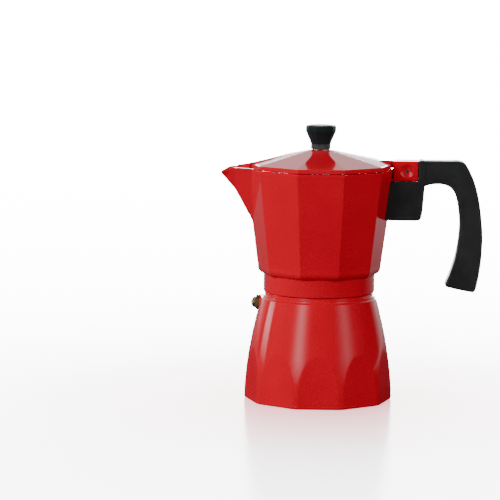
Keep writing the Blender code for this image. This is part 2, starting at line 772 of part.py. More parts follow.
def spout_cover(name, shrink, top_drop, low):
    """A kite-shaped block whose top goes on from the roof's ridge out over the spout."""
    plan = [
        (RIM_R + 0.0057 - shrink, 0.0084 - shrink),
        (RIM_R - 0.0026, 0.0140 - shrink * 1.2),
        (RIM_R - 0.0150, 0.0092 - shrink),
        (RIM_R - 0.0270, 0.0030 - shrink * 0.4),
    ]
    points = []
    for level in (0, 1):
        for reach, half in plan + [(r, -h) for r, h in reversed(plan)]:
            ridge = LID_Z + LID_EDGE + (roof_r - reach) * roof_slope
            points.append((-reach, half, ridge + 0.0001 - top_drop if level else low))
    count = len(plan) * 2
    faces = [list(range(count))[::-1], [count + k for k in range(count)]]
    for k in range(count):
        n = (k + 1) % count
        faces.append([k, n, count + n, count + k])
    return mesh_object(name, points, faces)


cover = spout_cover("lid_cover", 0.0, 0.0, LID_Z)
bevel(cover, 0.0004, 1, 40)
join(lid, cover)
hollow = turned(
    "lid_hollow",
    [
        (0.0, APEX_Z - LID_SHEET),
        (APEX_R, APEX_Z - LID_SHEET),
        (RIM_R + 0.0002 - LID_SHEET, LID_Z + LID_EDGE - LID_SHEET * 0.9),
        (RIM_R + 0.0002 - LID_SHEET, LID_Z - 0.004),
        (0.0, LID_Z - 0.004),
    ],
    FLAT_SIDES,
)
cover_hollow = spout_cover("lid_cover_hollow", 0.0017, 0.0017, LID_Z - 0.004)
cut(lid, hollow, cover_hollow)
trim = box(
    "lid_trim",
    (HINGE_X - 0.0118, -0.0100, LID_Z - 0.01),
    (HINGE_X + 0.02, 0.0100, LID_Z + 0.02),
)
cut(lid, trim)
TAB_LOW = LID_Z
tab_top = EAR_TOP - 0.0001
tab = box(
    "lid_tab",
    (HINGE_X - 0.0205, -TAB_HALF + 0.0001, LID_Z + 0.0032),
    (HINGE_X - 0.0081, TAB_HALF - 0.0001, tab_top),
)
bevel(tab, 0.0005, 1)
neck = box(
    "lid_neck",
    (HINGE_X - 0.0150, -TAB_HALF + 0.0003, LID_Z + 0.0004),
    (HINGE_X - 0.0030, TAB_HALF - 0.0003, HINGE_Z + 0.0034),
)
knuckle = rod("lid_knuckle", (HINGE_X, -TAB_HALF, HINGE_Z), (HINGE_X, TAB_HALF, HINGE_Z), 0.0050, 32)
pad = box(
    "lid_pad",
    (HINGE_X - 0.0036, -TAB_HALF + 0.0002, HINGE_Z + 0.0026),
    (HINGE_X + 0.0015, TAB_HALF - 0.0002, tab_top - 0.0005),
)
bevel(pad, 0.0004, 1)
web = box(
    "lid_web",
    (HINGE_X - 0.0138, -TAB_HALF + 0.0002, LID_Z + 0.0012),
    (HINGE_X - 0.0086, TAB_HALF - 0.0002, LID_Z + 0.0042),
)
join(lid, tab, neck, web, knuckle, pad)
knob_screw_r = 0.0020
lid_hole = rod("lid_hole", (0, 0, APEX_Z - 0.01), (0, 0, APEX_Z + 0.01), knob_screw_r + GAP, 24)
knuckle_hole = rod("knuckle_hole", (HINGE_X, -0.02, HINGE_Z), (HINGE_X, 0.02, HINGE_Z), PIN_R + GAP, 24)
cut(lid, lid_hole, knuckle_hole, solver="MANIFOLD")
finish(lid, LID_RED)

# Knob: a faceted flare on a short grey neck, held from below by a screw and a washer
NECK_Z = APEX_Z + GAP
neck_t = 0.0035
insert_profile = [
    (knob_screw_r + GAP, NECK_Z + neck_t),
    (APEX_R - 0.0004, NECK_Z + neck_t),
    (APEX_R - 0.0001, NECK_Z + neck_t - 0.0003),
    (APEX_R, NECK_Z),
    (knob_screw_r + GAP, NECK_Z),
]
knob_insert = finish(turned("knob_insert", insert_profile, FLAT_SIDES, shown=True), INSERT_GREY)
KNOB_Z = NECK_Z + neck_t + GAP
KNOB_TOP = APEX_Z + KNOB_H
flare = KNOB_TOP - 0.0048
knob_profile = [(0.0, KNOB_TOP), (KNOB_R * 0.62, KNOB_TOP), (KNOB_R - 0.0008, KNOB_TOP - 0.0006)]
knob_profile.append((KNOB_R, KNOB_TOP - 0.0014))
knob_profile.append((KNOB_R, flare + 0.0006))
knob_profile.append((KNOB_R - 0.0002, flare))
for i in range(1, 8):
    t = i / 7
    shrink = (KNOB_R - 0.0002 - APEX_R) * (1 - (1 - t) ** 1.08)
    knob_profile.append((KNOB_R - 0.0002 - shrink, flare + (KNOB_Z - flare) * t))
knob_profile += [(knob_screw_r + GAP, KNOB_Z), (knob_screw_r + GAP, KNOB_TOP - 0.0042), (0.0, KNOB_TOP - 0.0042)]
knob = finish(turned("knob", knob_profile, FLAT_SIDES, shown=True), KNOB_BLACK)

under = APEX_Z - LID_SHEET
washer_profile = [
    (knob_screw_r + GAP, under - GAP),
    (0.0052, under - GAP),
    (0.0055, under - GAP - 0.0003),
    (0.0055, under - GAP - 0.0006),
    (knob_screw_r + GAP, under - GAP - 0.0006),
]
knob_washer = finish(turned("knob_washer", washer_profile, 32, shown=True), KNOB_WASHER_STEEL)
head_z = under - 2 * GAP - 0.0006
screw_profile = [
    (0.0, KNOB_TOP - 0.0048),
    (knob_screw_r - 0.0004, KNOB_TOP - 0.0048),
    (knob_screw_r, KNOB_TOP - 0.0053),
    (knob_screw_r, head_z),
    (0.0038, head_z),
    (0.0037, head_z - 0.0009),
    (0.0027, head_z - 0.0018),
    (0.0, head_z - 0.0021),
]
knob_screw = turned("knob_screw", screw_profile, 32, shown=True)
slots = [
    box("knob_slot_a", (-0.0021, -0.0004, head_z - 0.004), (0.0021, 0.0004, head_z - 0.0010)),
    box("knob_slot_b", (-0.0004, -0.0021, head_z - 0.004), (0.0004, 0.0021, head_z - 0.0010)),
]
cut(knob_screw, *slots)
finish(knob_screw, KNOB_SCREW_STEEL)


# Handle: an upright block on the tongue, with a flat grip that sweeps out and down
def near_rim(points):
    """Outline corners given from the rim's corner. A third value marks a smooth point."""
    return [(RIM_R + 0.0005 + p[0] / 1000, RIM_Z + p[1] / 1000, *p[2:]) for p in points]


grip_points = near_rim(
    [
        (18.0, 5.9),
        (38.0, 6.0, 1),
        (44.6, 6.0, 1),
        (48.3, 4.2, 1),
        (51.3, -0.6, 1),
        (54.4, -7.2, 1),
        (57.3, -16.8, 1),
        (59.5, -29.0, 1),
        (60.9, -42.0, 1),
        (61.1, -52.0, 1),
        (60.5, -64.0, 1),
        (59.0, -75.0, 1),
        (57.4, -83.0, 1),
        (56.4, -85.4, 1),
        (54.4, -86.1, 1),
        (38.0, -82.9, 1),
        (36.0, -82.0, 1),
        (35.8, -80.2, 1),
        (39.3, -71.0, 1),
        (42.5, -60.5, 1),
        (44.4, -49.0, 1),
        (45.1, -39.0, 1),
        (44.4, -29.5, 1),
        (42.7, -20.5, 1),
        (40.2, -15.0, 1),
        (37.2, -12.0, 1),
        (32.6, -10.4, 1),
        (26.0, -10.3, 1),
        (21.6, -11.4, 1),
        (18.0, -13.6),
    ]
)
grip = outline("handle_grip", grip_points, HANDLE_W / 2 - 0.0006)
bevel(grip, 0.0014, 2, 45)
block_points = near_rim(
    [
        (-16.0, 6.3),
        (20.4, 6.3),
        (20.2, -10.0),
        (18.6, -32.6, 1),
        (17.6, -35.2, 1),
        (15.2, -36.0, 1),
        (-16.0, -36.0),
    ]
)
handle = outline("handle", block_points, HANDLE_W / 2, shown=True)
bevel(handle, 0.0009, 2, 45)
body_clear = [(0.0, RIM_Z + 0.02)]
for z in (RIM_Z + 0.02, CUP_Z - 0.02):
    body_clear.append((cup_radius(z) + GAP / math.cos(math.pi / FLAT_SIDES), z))
body_clear.append((0.0, CUP_Z - 0.02))
body_space = turned("handle_body_space", body_clear, FLAT_SIDES)
ear_space = box(
    "handle_ear_space",
    (RIM_R - 0.03, -0.02, EAR_LOW - GAP),
    (EAR_END + GAP, 0.02, EAR_TOP + 0.02),
)
tongue_space = box(
    "handle_tongue_space",
    (RIM_R - 0.02, -TONGUE_HALF - GAP, TONGUE_LOW - GAP),
    (TONGUE_END + GAP, TONGUE_HALF + GAP, TONGUE_TOP + GAP),
)
screw_seat = RIM_R + 0.0160
hole = rod("handle_hole", (RIM_R, 0, SCREW_Z), (RIM_R + 0.03, 0, SCREW_Z), screw_r + GAP, 24)
sink = rod("handle_sink", (screw_seat, 0, SCREW_Z), (RIM_R + 0.03, 0, SCREW_Z), 0.0042, 32)
cut(handle, body_space, ear_space, tongue_space, hole, sink, solver="MANIFOLD")
join(handle, grip, solver="MANIFOLD")
finish(handle, HANDLE_BLACK)


def aim_handle(item):
    """Turns a shape made about Z so that Z runs to +X along the handle screw's axis."""
    item.matrix_world = Matrix.Translation((0, 0, SCREW_Z)) @ Matrix.Rotation(math.pi / 2, 4, "Y")


seat = screw_seat + GAP
washer_profile = [
    (screw_r + GAP, seat + 0.0005),
    (0.0038, seat + 0.0005),
    (0.0038, seat),
    (screw_r + GAP, seat),
]
handle_washer = finish(turned("handle_washer", washer_profile, 32, shown=True), WASHER_STEEL)
aim_handle(handle_washer)
head = seat + 0.0005 + GAP
screw_profile = [
    (0.0, head + 0.0018),
    (0.0024, head + 0.0016),
    (0.0034, head + 0.0008),
    (0.0035, head),
    (screw_r, head),
    (screw_r, RIM_R + 0.0014),
    (screw_r - 0.0005, RIM_R + 0.0008),
    (0.0, RIM_R + 0.0008),
]
handle_screw = turned("handle_screw", screw_profile, 32, shown=True)
aim_handle(handle_screw)
drive = [
    box("handle_slot_a", (head + 0.0009, -0.0018, SCREW_Z - 0.0004), (head + 0.004, 0.0018, SCREW_Z + 0.0004)),
    box("handle_slot_b", (head + 0.0009, -0.0004, SCREW_Z - 0.0018), (head + 0.004, 0.0004, SCREW_Z + 0.0018)),
]
cut(handle_screw, *drive)
finish(handle_screw, SCREW_STEEL)
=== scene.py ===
import math

import bpy
import numpy as np
from mathutils import Matrix, Vector


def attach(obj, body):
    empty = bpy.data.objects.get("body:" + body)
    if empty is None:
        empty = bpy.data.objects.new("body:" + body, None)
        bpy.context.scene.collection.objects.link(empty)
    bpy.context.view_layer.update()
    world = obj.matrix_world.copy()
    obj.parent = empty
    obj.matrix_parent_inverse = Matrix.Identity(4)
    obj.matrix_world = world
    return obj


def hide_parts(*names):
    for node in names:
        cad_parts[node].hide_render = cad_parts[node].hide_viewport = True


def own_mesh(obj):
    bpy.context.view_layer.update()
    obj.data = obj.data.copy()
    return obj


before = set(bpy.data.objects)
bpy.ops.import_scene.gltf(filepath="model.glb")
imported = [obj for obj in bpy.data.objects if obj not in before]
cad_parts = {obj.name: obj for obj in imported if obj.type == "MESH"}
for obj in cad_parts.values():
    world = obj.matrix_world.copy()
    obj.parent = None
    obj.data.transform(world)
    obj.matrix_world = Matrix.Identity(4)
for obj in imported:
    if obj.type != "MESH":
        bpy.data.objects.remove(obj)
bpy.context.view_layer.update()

# ---------------------------------------------------------------------------
# Boiler: cast aluminium, lacquered red outside and bare inside. One surface of revolution carries the ten
# arched flats, which a soft minimum cuts from the turned curve, and the raised bead of the neck's thread.


def surface(name, points, wrap_u=False, wrap_v=True, caps=False, body=None):
    """An object whose vertices are a grid of points[u, v], with quads between neighbours.

    A wrap joins the last line to the first, and caps close the first and last rings. A closed body is turned so
    that its volume, the sum of the signed pyramids from its middle to each quad, is positive.
    """
    nu, nv = points.shape[:2]
    u = np.arange(nu if wrap_u else nu - 1)
    v = np.arange(nv if wrap_v else nv - 1)
    a, b = np.meshgrid(u, v, indexing="ij")
    a2, b2 = (a + 1) % nu, (b + 1) % nv
    quads = np.stack([a * nv + b, a * nv + b2, a2 * nv + b2, a2 * nv + b], -1).reshape(-1, 4)
    faces = quads.tolist()
    if caps:
        faces += [list(range(nv))[::-1], list(range((nu - 1) * nv, nu * nv))]
    flat = points.reshape(-1, 3) - points.reshape(-1, 3).mean(0)
    corner = [flat[quads[:, k]] for k in range(4)]
    pyramids = np.cross(corner[2] - corner[0], corner[3] - corner[1]) * (corner[0] + corner[2])
    if (wrap_u or caps) and pyramids.sum() < 0:
        faces = [face[::-1] for face in faces]
    mesh = bpy.data.meshes.new(name)
    mesh.from_pydata(points.reshape(-1, 3).tolist(), [], faces)
    mesh.polygons.foreach_set("use_smooth", np.ones(len(faces), bool))
    mesh.validate()
    item = bpy.data.objects.new(name, mesh)
    bpy.context.scene.collection.objects.link(item)
    if body:
        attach(item, body)
    return item


def fillet(corners, radii, steps=5):
    """A polyline of (radius, height) corners whose inner corners are rounded by arcs of the given radii."""
    made = [np.array(corners[0], float)]
    for i in range(1, len(corners) - 1):
        p, c, n = (np.array(corners[k], float) for k in (i - 1, i, i + 1))
        back, ahead = p - c, n - c
        lb, la = np.linalg.norm(back), np.linalg.norm(ahead)
        reach = min(radii[i], 0.45 * lb, 0.45 * la)
        if reach <= 0:
            made.append(c)
            continue
        start, stop = c + back / lb * reach, c + ahead / la * reach
        for t in np.linspace(0, 1, steps):
            made.append((1 - t) ** 2 * start + 2 * t * (1 - t) * c + t**2 * stop)
    made.append(np.array(corners[-1], float))
    return np.array(made)


def subdivide(line, longest):
    """The polyline with extra points so that no step is longer than asked."""
    made = [line[:1]]
    for a, b in zip(line[:-1], line[1:]):
        n = max(1, int(np.ceil(np.linalg.norm(b - a) / longest)))
        t = np.arange(1, n + 1)[:, None] / n
        made.append(a + (b - a) * t)
    return np.concatenate(made)


def soft_min(a, b, k):
    """The smaller of a and b, rounded over a width of about k where they cross."""
    low = np.minimum(a, b)
    return low - k * np.log1p(np.exp(-np.abs(a - b) / k))


def turned(radius, height, theta):
    """Points[u, v] at the radius and height of each row, or of each [u, v], turned about Z to angle theta[v]."""
    height = height + np.zeros((1, len(theta)))
    return np.stack([radius * np.cos(theta)[None], radius * np.sin(theta)[None], height], -1)


shoulder_r, base_r, boiler_h = 0.0396, 0.0518, 0.0737
neck_r, thread_pitch = 0.0349, 0.0030
z = np.linspace(boiler_h - 0.0016, 0.0021, 90)
curve_r = shoulder_r + (base_r - shoulder_r) * (1 - (z / boiler_h) ** 1.75)
neck = fillet(
    [(0.0311, 0.0853), (0.0316, 0.0860), (0.0341, 0.0860), (neck_r, 0.0852)], [0, 0.0003, 0.0004, 0], 4
)
thread_z = np.linspace(0.0851, 0.0760, 52)
neck_side = np.stack([np.full_like(thread_z, neck_r), thread_z], 1)
step = [(neck_r, 0.0758), (0.0350, 0.0757), (0.0382, 0.0757), (0.0383, 0.0738)]
step += [(0.0397, 0.0737), (0.0399, 0.0719)]
shoulder = fillet(step, [0, 0.0001, 0.0004, 0.0003, 0.0015, 0], 8)
side = np.stack([curve_r, z], 1)
foot = fillet([(0.0518, 0.0020), (0.0517, 0.0), (0.0440, 0.0)], [0, 0.0019, 0], 8)
under = [(0.0440, 0.0), (0.0424, 0.0), (0.0416, 0.0004), (0.0020, 0.0004), (0.0001, 0.0004)]
under = fillet(under, [0, 0.001, 0.001, 0, 0], 5)
inner_z = np.linspace(0.0085, 0.0640, 14)
inner_r = shoulder_r + (base_r - shoulder_r) * (1 - (inner_z / boiler_h) ** 1.75) - 0.0038
inside = fillet(
    [(0.0001, 0.0040), (0.0420, 0.0040), (0.0476, 0.0050), (0.0477, 0.0085)], [0, 0.002, 0.003, 0], 5
)
throat = fillet([(inner_r[-1], 0.0645), (0.0312, 0.0724), (0.0310, 0.0853)], [0, 0.003, 0], 6)
outer_line = np.concatenate([neck, neck_side, shoulder, side, foot, under])
inner_line = np.concatenate([inside, np.stack([inner_r, inner_z], 1), throat])
line = np.concatenate([outer_line, inner_line])
theta = np.linspace(0, 2 * math.pi, 361)[:-1]
radius = np.repeat(line[:, 0][:, None], len(theta), 1)
height = line[:, 1][:, None]
facet = (theta % (math.pi / 5)) - math.pi / 10
is_outer = (np.arange(len(line)) >= len(neck) + len(neck_side) + len(shoulder)) & (
    np.arange(len(line)) < len(outer_line) - len(under) + 1
)
drop = np.clip(base_r - radius, 0, None) * (height < 0.0022)
# The flats lean inwards as they rise, and meet the turned curve in arches
flat_at_base, flat_lean, arch_soft = 0.04986, 0.0456, 0.00006
flat = (flat_at_base - flat_lean * height - drop * 0.9) / np.cos(facet)[None]
cut_r = soft_min(radius, flat, arch_soft)
radius = np.where(is_outer[:, None] & (height < 0.05), cut_r, radius)
on_neck = (np.arange(len(line)) >= len(neck)) & (np.arange(len(line)) < len(neck) + len(neck_side))
phase = (height - 0.0768) / thread_pitch - theta[None] / (2 * math.pi)
bead = np.clip(np.cos(2 * math.pi * phase), 0, 1) ** 1.3 * 0.00075
bead = bead * np.clip((height - 0.0754) / 0.0008, 0, 1) * np.clip((0.0846 - height) / 0.0008, 0, 1)
radius = np.where(on_neck[:, None], radius + bead, radius)
points = turned(radius, height, theta)
boiler = surface("boiler_shell", points, wrap_u=True, body="boiler")
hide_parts("boiler")
bare = boiler.data.attributes.new("bare", "FLOAT", "POINT")
bare_line = np.zeros(len(line))
bare_line[: len(neck) + len(neck_side)] = 1.0
bare_line[len(outer_line) - len(under) :] = 1.0
bare.data.foreach_set("value", np.repeat(bare_line, len(theta)).astype(np.float32))


def node_group(name, outputs):
    """An empty shader node group with the named outputs, and its output node."""
    group = bpy.data.node_groups.new(name, "ShaderNodeTree")
    for label, kind in outputs:
        group.interface.new_socket(name=label, in_out="OUTPUT", socket_type=kind)
    return group, group.nodes.new("NodeGroupOutput")


def wire(tree, source, target):
    """A link from an output socket to an input socket."""
    tree.links.new(source, target)


def maths(tree, operation, a, b=None):
    """A Math node on two sockets or numbers. Its output is returned."""
    node = tree.nodes.new("ShaderNodeMath")
    node.operation = operation
    for socket, value in zip(node.inputs, (a, b)):
        if value is None:
            continue
        if isinstance(value, (int, float)):
            socket.default_value = value
        else:
            tree.links.new(value, socket)
    return node.outputs[0]


def noise(tree, place, scale, detail=2.0, rough=0.5, stretch=None):
    """A noise texture on Object coordinates, stretched by a mapping where asked. Its value is returned."""
    if stretch:
        mapping = tree.nodes.new("ShaderNodeMapping")
        mapping.inputs["Scale"].default_value = stretch
        tree.links.new(place, mapping.inputs["Vector"])
        place = mapping.outputs["Vector"]
    node = tree.nodes.new("ShaderNodeTexNoise")
    node.inputs["Scale"].default_value = scale
    node.inputs["Detail"].default_value = detail
    node.inputs["Roughness"].default_value = rough
    tree.links.new(place, node.inputs["Vector"])
    return node.outputs["Fac"]


def span(tree, value, low, high, to_low, to_high):
    """A Map Range node from one interval to another. Its output is returned."""
    node = tree.nodes.new("ShaderNodeMapRange")
    for label, number in zip(("From Min", "From Max", "To Min", "To Max"), (low, high, to_low, to_high)):
        node.inputs[label].default_value = number
    tree.links.new(value, node.inputs["Value"])
    return node.outputs["Result"]


def blend_colour(tree, amount, first, second):
    """A Mix node on two colours, given as sockets or as RGB triples. Its output is returned."""
    node = tree.nodes.new("ShaderNodeMix")
    node.data_type = "RGBA"
    tree.links.new(amount, node.inputs["Factor"])
    for socket, value in ((node.inputs[6], first), (node.inputs[7], second)):
        if isinstance(value, tuple):
            socket.default_value = (*value, 1.0)
        else:
            tree.links.new(value, socket)
    return node.outputs[2]


# The lacquer's own colour drifts a little from place to place, its surface has a fine orange peel, and faint
# dust and wiping marks change how sharply it shines.
lacquer_effect, lacquer_out = node_group(
    "lacquer_effect", [("Colour", "NodeSocketColor"), ("Rough", "NodeSocketFloat"), ("Peel", "NodeSocketFloat")]
)
t = lacquer_effect
place = t.nodes.new("ShaderNodeTexCoord").outputs["Object"]
drift = noise(t, place, 22.0, 3.0)
pigment = noise(t, place, 1400.0, 1.0)
colour = blend_colour(t, span(t, drift, 0.35, 0.65, 0.0, 1.0), (0.490, 0.0012, 0.0120), (0.540, 0.0016, 0.0140))
colour = blend_colour(t, span(t, pigment, 0.45, 0.75, 0.0, 0.10), colour, (0.36, 0.001, 0.009))
wire(t, colour, lacquer_out.inputs["Colour"])
wiped = noise(t, place, 60.0, 4.0, 0.6, (1.0, 1.0, 0.25))
specks = noise(t, place, 700.0, 2.0)
rough = maths(t, "ADD", span(t, wiped, 0.35, 0.75, 0.10, 0.17), span(t, specks, 0.66, 0.80, 0.0, 0.08))
wire(t, rough, lacquer_out.inputs["Rough"])
peel = maths(t, "ADD", noise(t, place, 260.0, 2.0), maths(t, "MULTIPLY", noise(t, place, 90.0, 1.0), 1.6))
wire(t, peel, lacquer_out.inputs["Peel"])

# Bare cast aluminium: a soft grain, faint turning marks and pits.
cast_effect, cast_out = node_group(
    "cast_effect", [("Colour", "NodeSocketColor"), ("Rough", "NodeSocketFloat"), ("Grain", "NodeSocketFloat")]
)
t = cast_effect
place = t.nodes.new("ShaderNodeTexCoord").outputs["Object"]
cloud = noise(t, place, 45.0, 4.0, 0.6)
pits = noise(t, place, 900.0, 2.0)
colour = blend_colour(t, span(t, cloud, 0.3, 0.7, 0.0, 1.0), (0.60, 0.60, 0.59), (0.74, 0.74, 0.73))
colour = blend_colour(t, span(t, pits, 0.62, 0.72, 0.0, 0.6), colour, (0.40, 0.40, 0.39))
wire(t, colour, cast_out.inputs["Colour"])
wire(t, span(t, cloud, 0.3, 0.7, 0.34, 0.50), cast_out.inputs["Rough"])
rings = noise(t, place, 60.0, 2.0, 0.5, (0.3, 0.3, 14.0))
wire(t, maths(t, "ADD", maths(t, "MULTIPLY", pits, 0.5), rings), cast_out.inputs["Grain"])


def principled(name):
    """A new material, its node tree and its Principled shader."""
    made = bpy.data.materials.new(name)
    made.use_nodes = True
    return made, made.node_tree, made.node_tree.nodes["Principled BSDF"]


def use_group(tree, group):
    """A node that places a shader node group in a material's tree."""
    node = tree.nodes.new("ShaderNodeGroup")
    node.node_tree = group
    return node


def bump(tree, height, strength, distance, after=None):
    """A Bump node on a height. Its normal is returned."""
    node = tree.nodes.new("ShaderNodeBump")
    node.inputs["Strength"].default_value = strength
    node.inputs["Distance"].default_value = distance
    tree.links.new(height, node.inputs["Height"])
    if after is not None:
        tree.links.new(after, node.inputs["Normal"])
    return node.outputs["Normal"]


def lacquer_material(name, with_bare):
    """Red lacquer under a clear coat. Where the piece's attribute says bare, it is cast aluminium instead."""
    made, tree, shader = principled(name)
    red = use_group(tree, lacquer_effect)
    shader.inputs["Coat Roughness"].default_value = 0.03
    shader.inputs["Coat IOR"].default_value = 1.5
    shader.inputs["Specular IOR Level"].default_value = 0.10
    if not with_bare:
        wire(tree, red.outputs["Colour"], shader.inputs["Base Color"])
        wire(tree, red.outputs["Rough"], shader.inputs["Roughness"])
        shader.inputs["Coat Weight"].default_value = 0.8
        wire(tree, bump(tree, red.outputs["Peel"], 0.05, 0.0002), shader.inputs["Normal"])
        return made
    metal = use_group(tree, cast_effect)
    where = tree.nodes.new("ShaderNodeAttribute")
    where.attribute_name = "bare"
    edge = maths(tree, "GREATER_THAN", where.outputs["Fac"], 0.5)
    colour = blend_colour(tree, edge, red.outputs["Colour"], metal.outputs["Colour"])
    wire(tree, colour, shader.inputs["Base Color"])
    rough = tree.nodes.new("ShaderNodeMix")
    wire(tree, edge, rough.inputs["Factor"])
    wire(tree, red.outputs["Rough"], rough.inputs["A"])
    wire(tree, metal.outputs["Rough"], rough.inputs["B"])
    wire(tree, rough.outputs["Result"], shader.inputs["Roughness"])
    wire(tree, edge, shader.inputs["Metallic"])
    coated = maths(tree, "SUBTRACT", 1.0, edge)
    wire(tree, maths(tree, "MULTIPLY", coated, 0.8), shader.inputs["Coat Weight"])
    peel = bump(tree, maths(tree, "MULTIPLY", red.outputs["Peel"], coated), 0.05, 0.0002)
    grain = bump(tree, maths(tree, "MULTIPLY", metal.outputs["Grain"], edge), 0.25, 0.0002, peel)
    wire(tree, grain, shader.inputs["Normal"])
    return made


boiler.data.materials.append(lacquer_material("boiler_lacquer_and_metal", True))

# ---------------------------------------------------------------------------
# Collector: the ten-sided lacquered jug with its spout, on a round bare-bored collar. A polar surface: at each
# height the ten-sided radius, softened at the ridges, is widened by the spout and narrowed to the collar.
rim_r, rim_z, cup_r, cup_z = 0.0522, 0.1630, 0.0425, 0.0885
collar_r, collar_z, wall = 0.0389, 0.0760, 0.0028
spout_tip, spout_base = 0.0694, 0.0472


def decagon(theta, corner_r, soft):
    """Radius of a ten-sided outline with ridges at 0, 36, ... degrees, its ridges rounded by a soft minimum."""
    inner = corner_r * math.cos(math.pi / 10)
    local = (theta % (math.pi / 5)) - math.pi / 10
    here = inner / np.cos(local)
    after = inner / np.cos(local - np.sign(local + 1e-12) * math.pi / 5)
    return soft_min(here, after, soft)


def cup_corner(z):
    """Radius of the jug's ridges at a height: a straight taper."""
    return cup_r + (rim_r - cup_r) * (z - cup_z) / (rim_z - cup_z)


def spout_half(x, z, side, floor_t):
    """Half-width of the spout at distance x from the axis and height z.

    A rounded V whose floor climbs to the tip: zero at the floor, then steep, then nearly straight to the rim.
    """
    t = (x - spout_base) / (spout_tip - spout_base)
    up = np.clip(t, 0, None)
    half = 0.0155 * (1 - t) + 0.0019 * t - side * (1 - 0.72 * up**3)
    low = rim_z - 0.0380 * (1 - t) + 0.0022 * t - 0.0068 * np.clip(t - 0.56, 0, None) / 0.44
    low = low + floor_t * (1 - 0.86 * np.clip(t, 0, 1) ** 2)
    high = rim_z - 0.0039 * np.clip((t - 0.76) / 0.24, 0, None) ** 1.35
    blend = np.clip((z - low) / (high - low), 0, 1)
    start, full = math.sqrt(0.02), math.sqrt(1.02)
    a = np.sqrt(np.clip((blend * (full - start) + start) ** 2 - 0.02, 0, None))
    return np.where((z > low) & (t <= 1.0), half * a, -1e-6)


def spout_radius(phi, z, side, floor_t):
    """Distance from the axis to the spout's wall along each direction phi from -X, by halving the interval."""
    low = np.full(np.broadcast(phi, z).shape, 0.020)
    high = np.full_like(low, 0.076)
    for _ in range(34):
        middle = (low + high) / 2
        inside = spout_half(middle * np.cos(phi), z, side, floor_t) > middle * np.abs(np.sin(phi))
        low, high = np.where(inside, middle, low), np.where(inside, high, middle)
    return low


def smooth_max(a, b, k):
    """The larger of a and b, rounded over a width of about k where they cross."""
    return -soft_min(-a, -b, k)


ridge = np.deg2rad(np.arange(0, 360, 36))
offsets = np.concatenate([np.linspace(-1.5, 1.5, 9), np.linspace(2.8, 33.2, 13)])
theta = (ridge[:, None] + np.deg2rad(offsets)[None]).ravel()
nose = np.concatenate([np.linspace(-6, 6, 61), np.linspace(-34, -6.6, 28), np.linspace(6.6, 34, 28)])
nose = math.pi + np.deg2rad(nose)
theta = np.unique(np.round(np.concatenate([theta, nose]) % (2 * math.pi), 7))
phi = np.abs((theta % (2 * math.pi)) - math.pi)
# The rim dips towards the spout's tip
dip_at, dip_z = [0, 1.2, 2.8, 4.1, 6.0, 90], [0.1585, 0.1598, 0.1611, 0.1624, 0.1630, 0.1630]
rim_high = np.interp(np.rad2deg(phi), dip_at, dip_z)
corner = 0.0052
rows = [0.1630, 0.16295, 0.1628, 0.1626]
levels = np.concatenate([rows, np.linspace(0.1620, 0.1240, 72), np.linspace(0.1235, cup_z + corner, 12)])
bend = np.linspace(0, math.pi / 2, 20)[1:]
bend_z = cup_z + corner * (1 - np.sin(bend))
bend_r = cup_corner(cup_z + corner) - corner * 0.72 * (1 - np.cos(bend))
collar_top = cup_z - np.array([0.00004, 0.0001, 0.0002, 0.0004])
collar_side = np.concatenate([collar_top, np.linspace(cup_z - 0.001, collar_z + 0.0011, 12)])
outer_z = np.concatenate([levels, bend_z, collar_side])
outer_corner = np.concatenate([cup_corner(levels), bend_r, bend_r[-1] - 0.02 * np.linspace(0.02, 1, 16)])
z_grid = outer_z[:, None] + 0 * theta[None]
poly = decagon(theta[None], outer_corner[:, None], 0.00013)
round_part = np.where(outer_z < cup_z + 0.0040, collar_r, 0.0)[:, None]
r_grid = np.where(round_part > 0, smooth_max(poly, round_part + 0 * poly, 0.00045), poly)
lip = 0.00045 * np.clip(1 - (rim_z - outer_z) / 0.0005, 0, 1) ** 2
r_grid = r_grid - lip[:, None]
sp = spout_radius(phi[None], z_grid, 0.0, 0.0)
fade = np.clip((phi - math.radians(26)) / math.radians(6), 0, 1)[None]
sp = sp * (1 - fade)
r_grid = np.where(outer_z[:, None] > 0.1235, smooth_max(r_grid, sp - lip[:, None], 0.00022), r_grid)
squeeze = np.clip((z_grid - 0.1580) / 0.0050, 0, 1)
z_grid = np.where(z_grid > 0.1580, 0.1580 + squeeze * (rim_high[None] - 0.1580), z_grid)
rim_outer = r_grid[0]

# The inside, from the rim down to the floor, then the column's boss
in_z = [0.1630, 0.16295, 0.1628, 0.1625]
in_z = np.concatenate([in_z, np.linspace(0.1618, 0.1300, 34), np.linspace(0.1290, 0.0985, 8)])
in_corner = cup_corner(in_z) - wall
in_poly = decagon(theta[None], in_corner[:, None], 0.0003)
in_sp = spout_radius(phi[None], in_z[:, None] + 0 * theta[None], 0.0024, 0.0062) * (1 - fade)
inner = smooth_max(in_poly, np.where(in_z[:, None] > 0.1290, in_sp, 0.0), 0.0004)
in_lip = 0.0006 * np.clip(1 - (rim_z - in_z) / 0.0008, 0, 1) ** 2
inner = np.minimum(inner + in_lip[:, None], rim_outer[None] - 0.0010)
outer_at = np.stack([np.interp(in_z, outer_z[::-1], r_grid[::-1, j]) for j in range(len(theta))], 1)
inner = np.minimum(inner, outer_at - 0.0007)
dipped = 0.1580 + (in_z[:, None] - 0.1580) / 0.0050 * (rim_high[None] - 0.1580)
in_grid = np.where(in_z[:, None] > 0.1580, dipped, in_z[:, None])
floor_r = decagon(theta[None], np.array([0.0402, 0.0388, 0.0368])[:, None], 0.0003)
floor_z = np.array([0.0962, 0.0950, 0.0945])[:, None] + 0 * theta[None]
boss = [(0.0132, 0.0945), (0.0112, 0.0949), (0.0098, 0.0958), (0.0084, 0.0985)]
boss = np.array(boss + [(0.0074, 0.1060), (0.0070, 0.1065), (0.0055, 0.1065), (0.0055, 0.0975)])
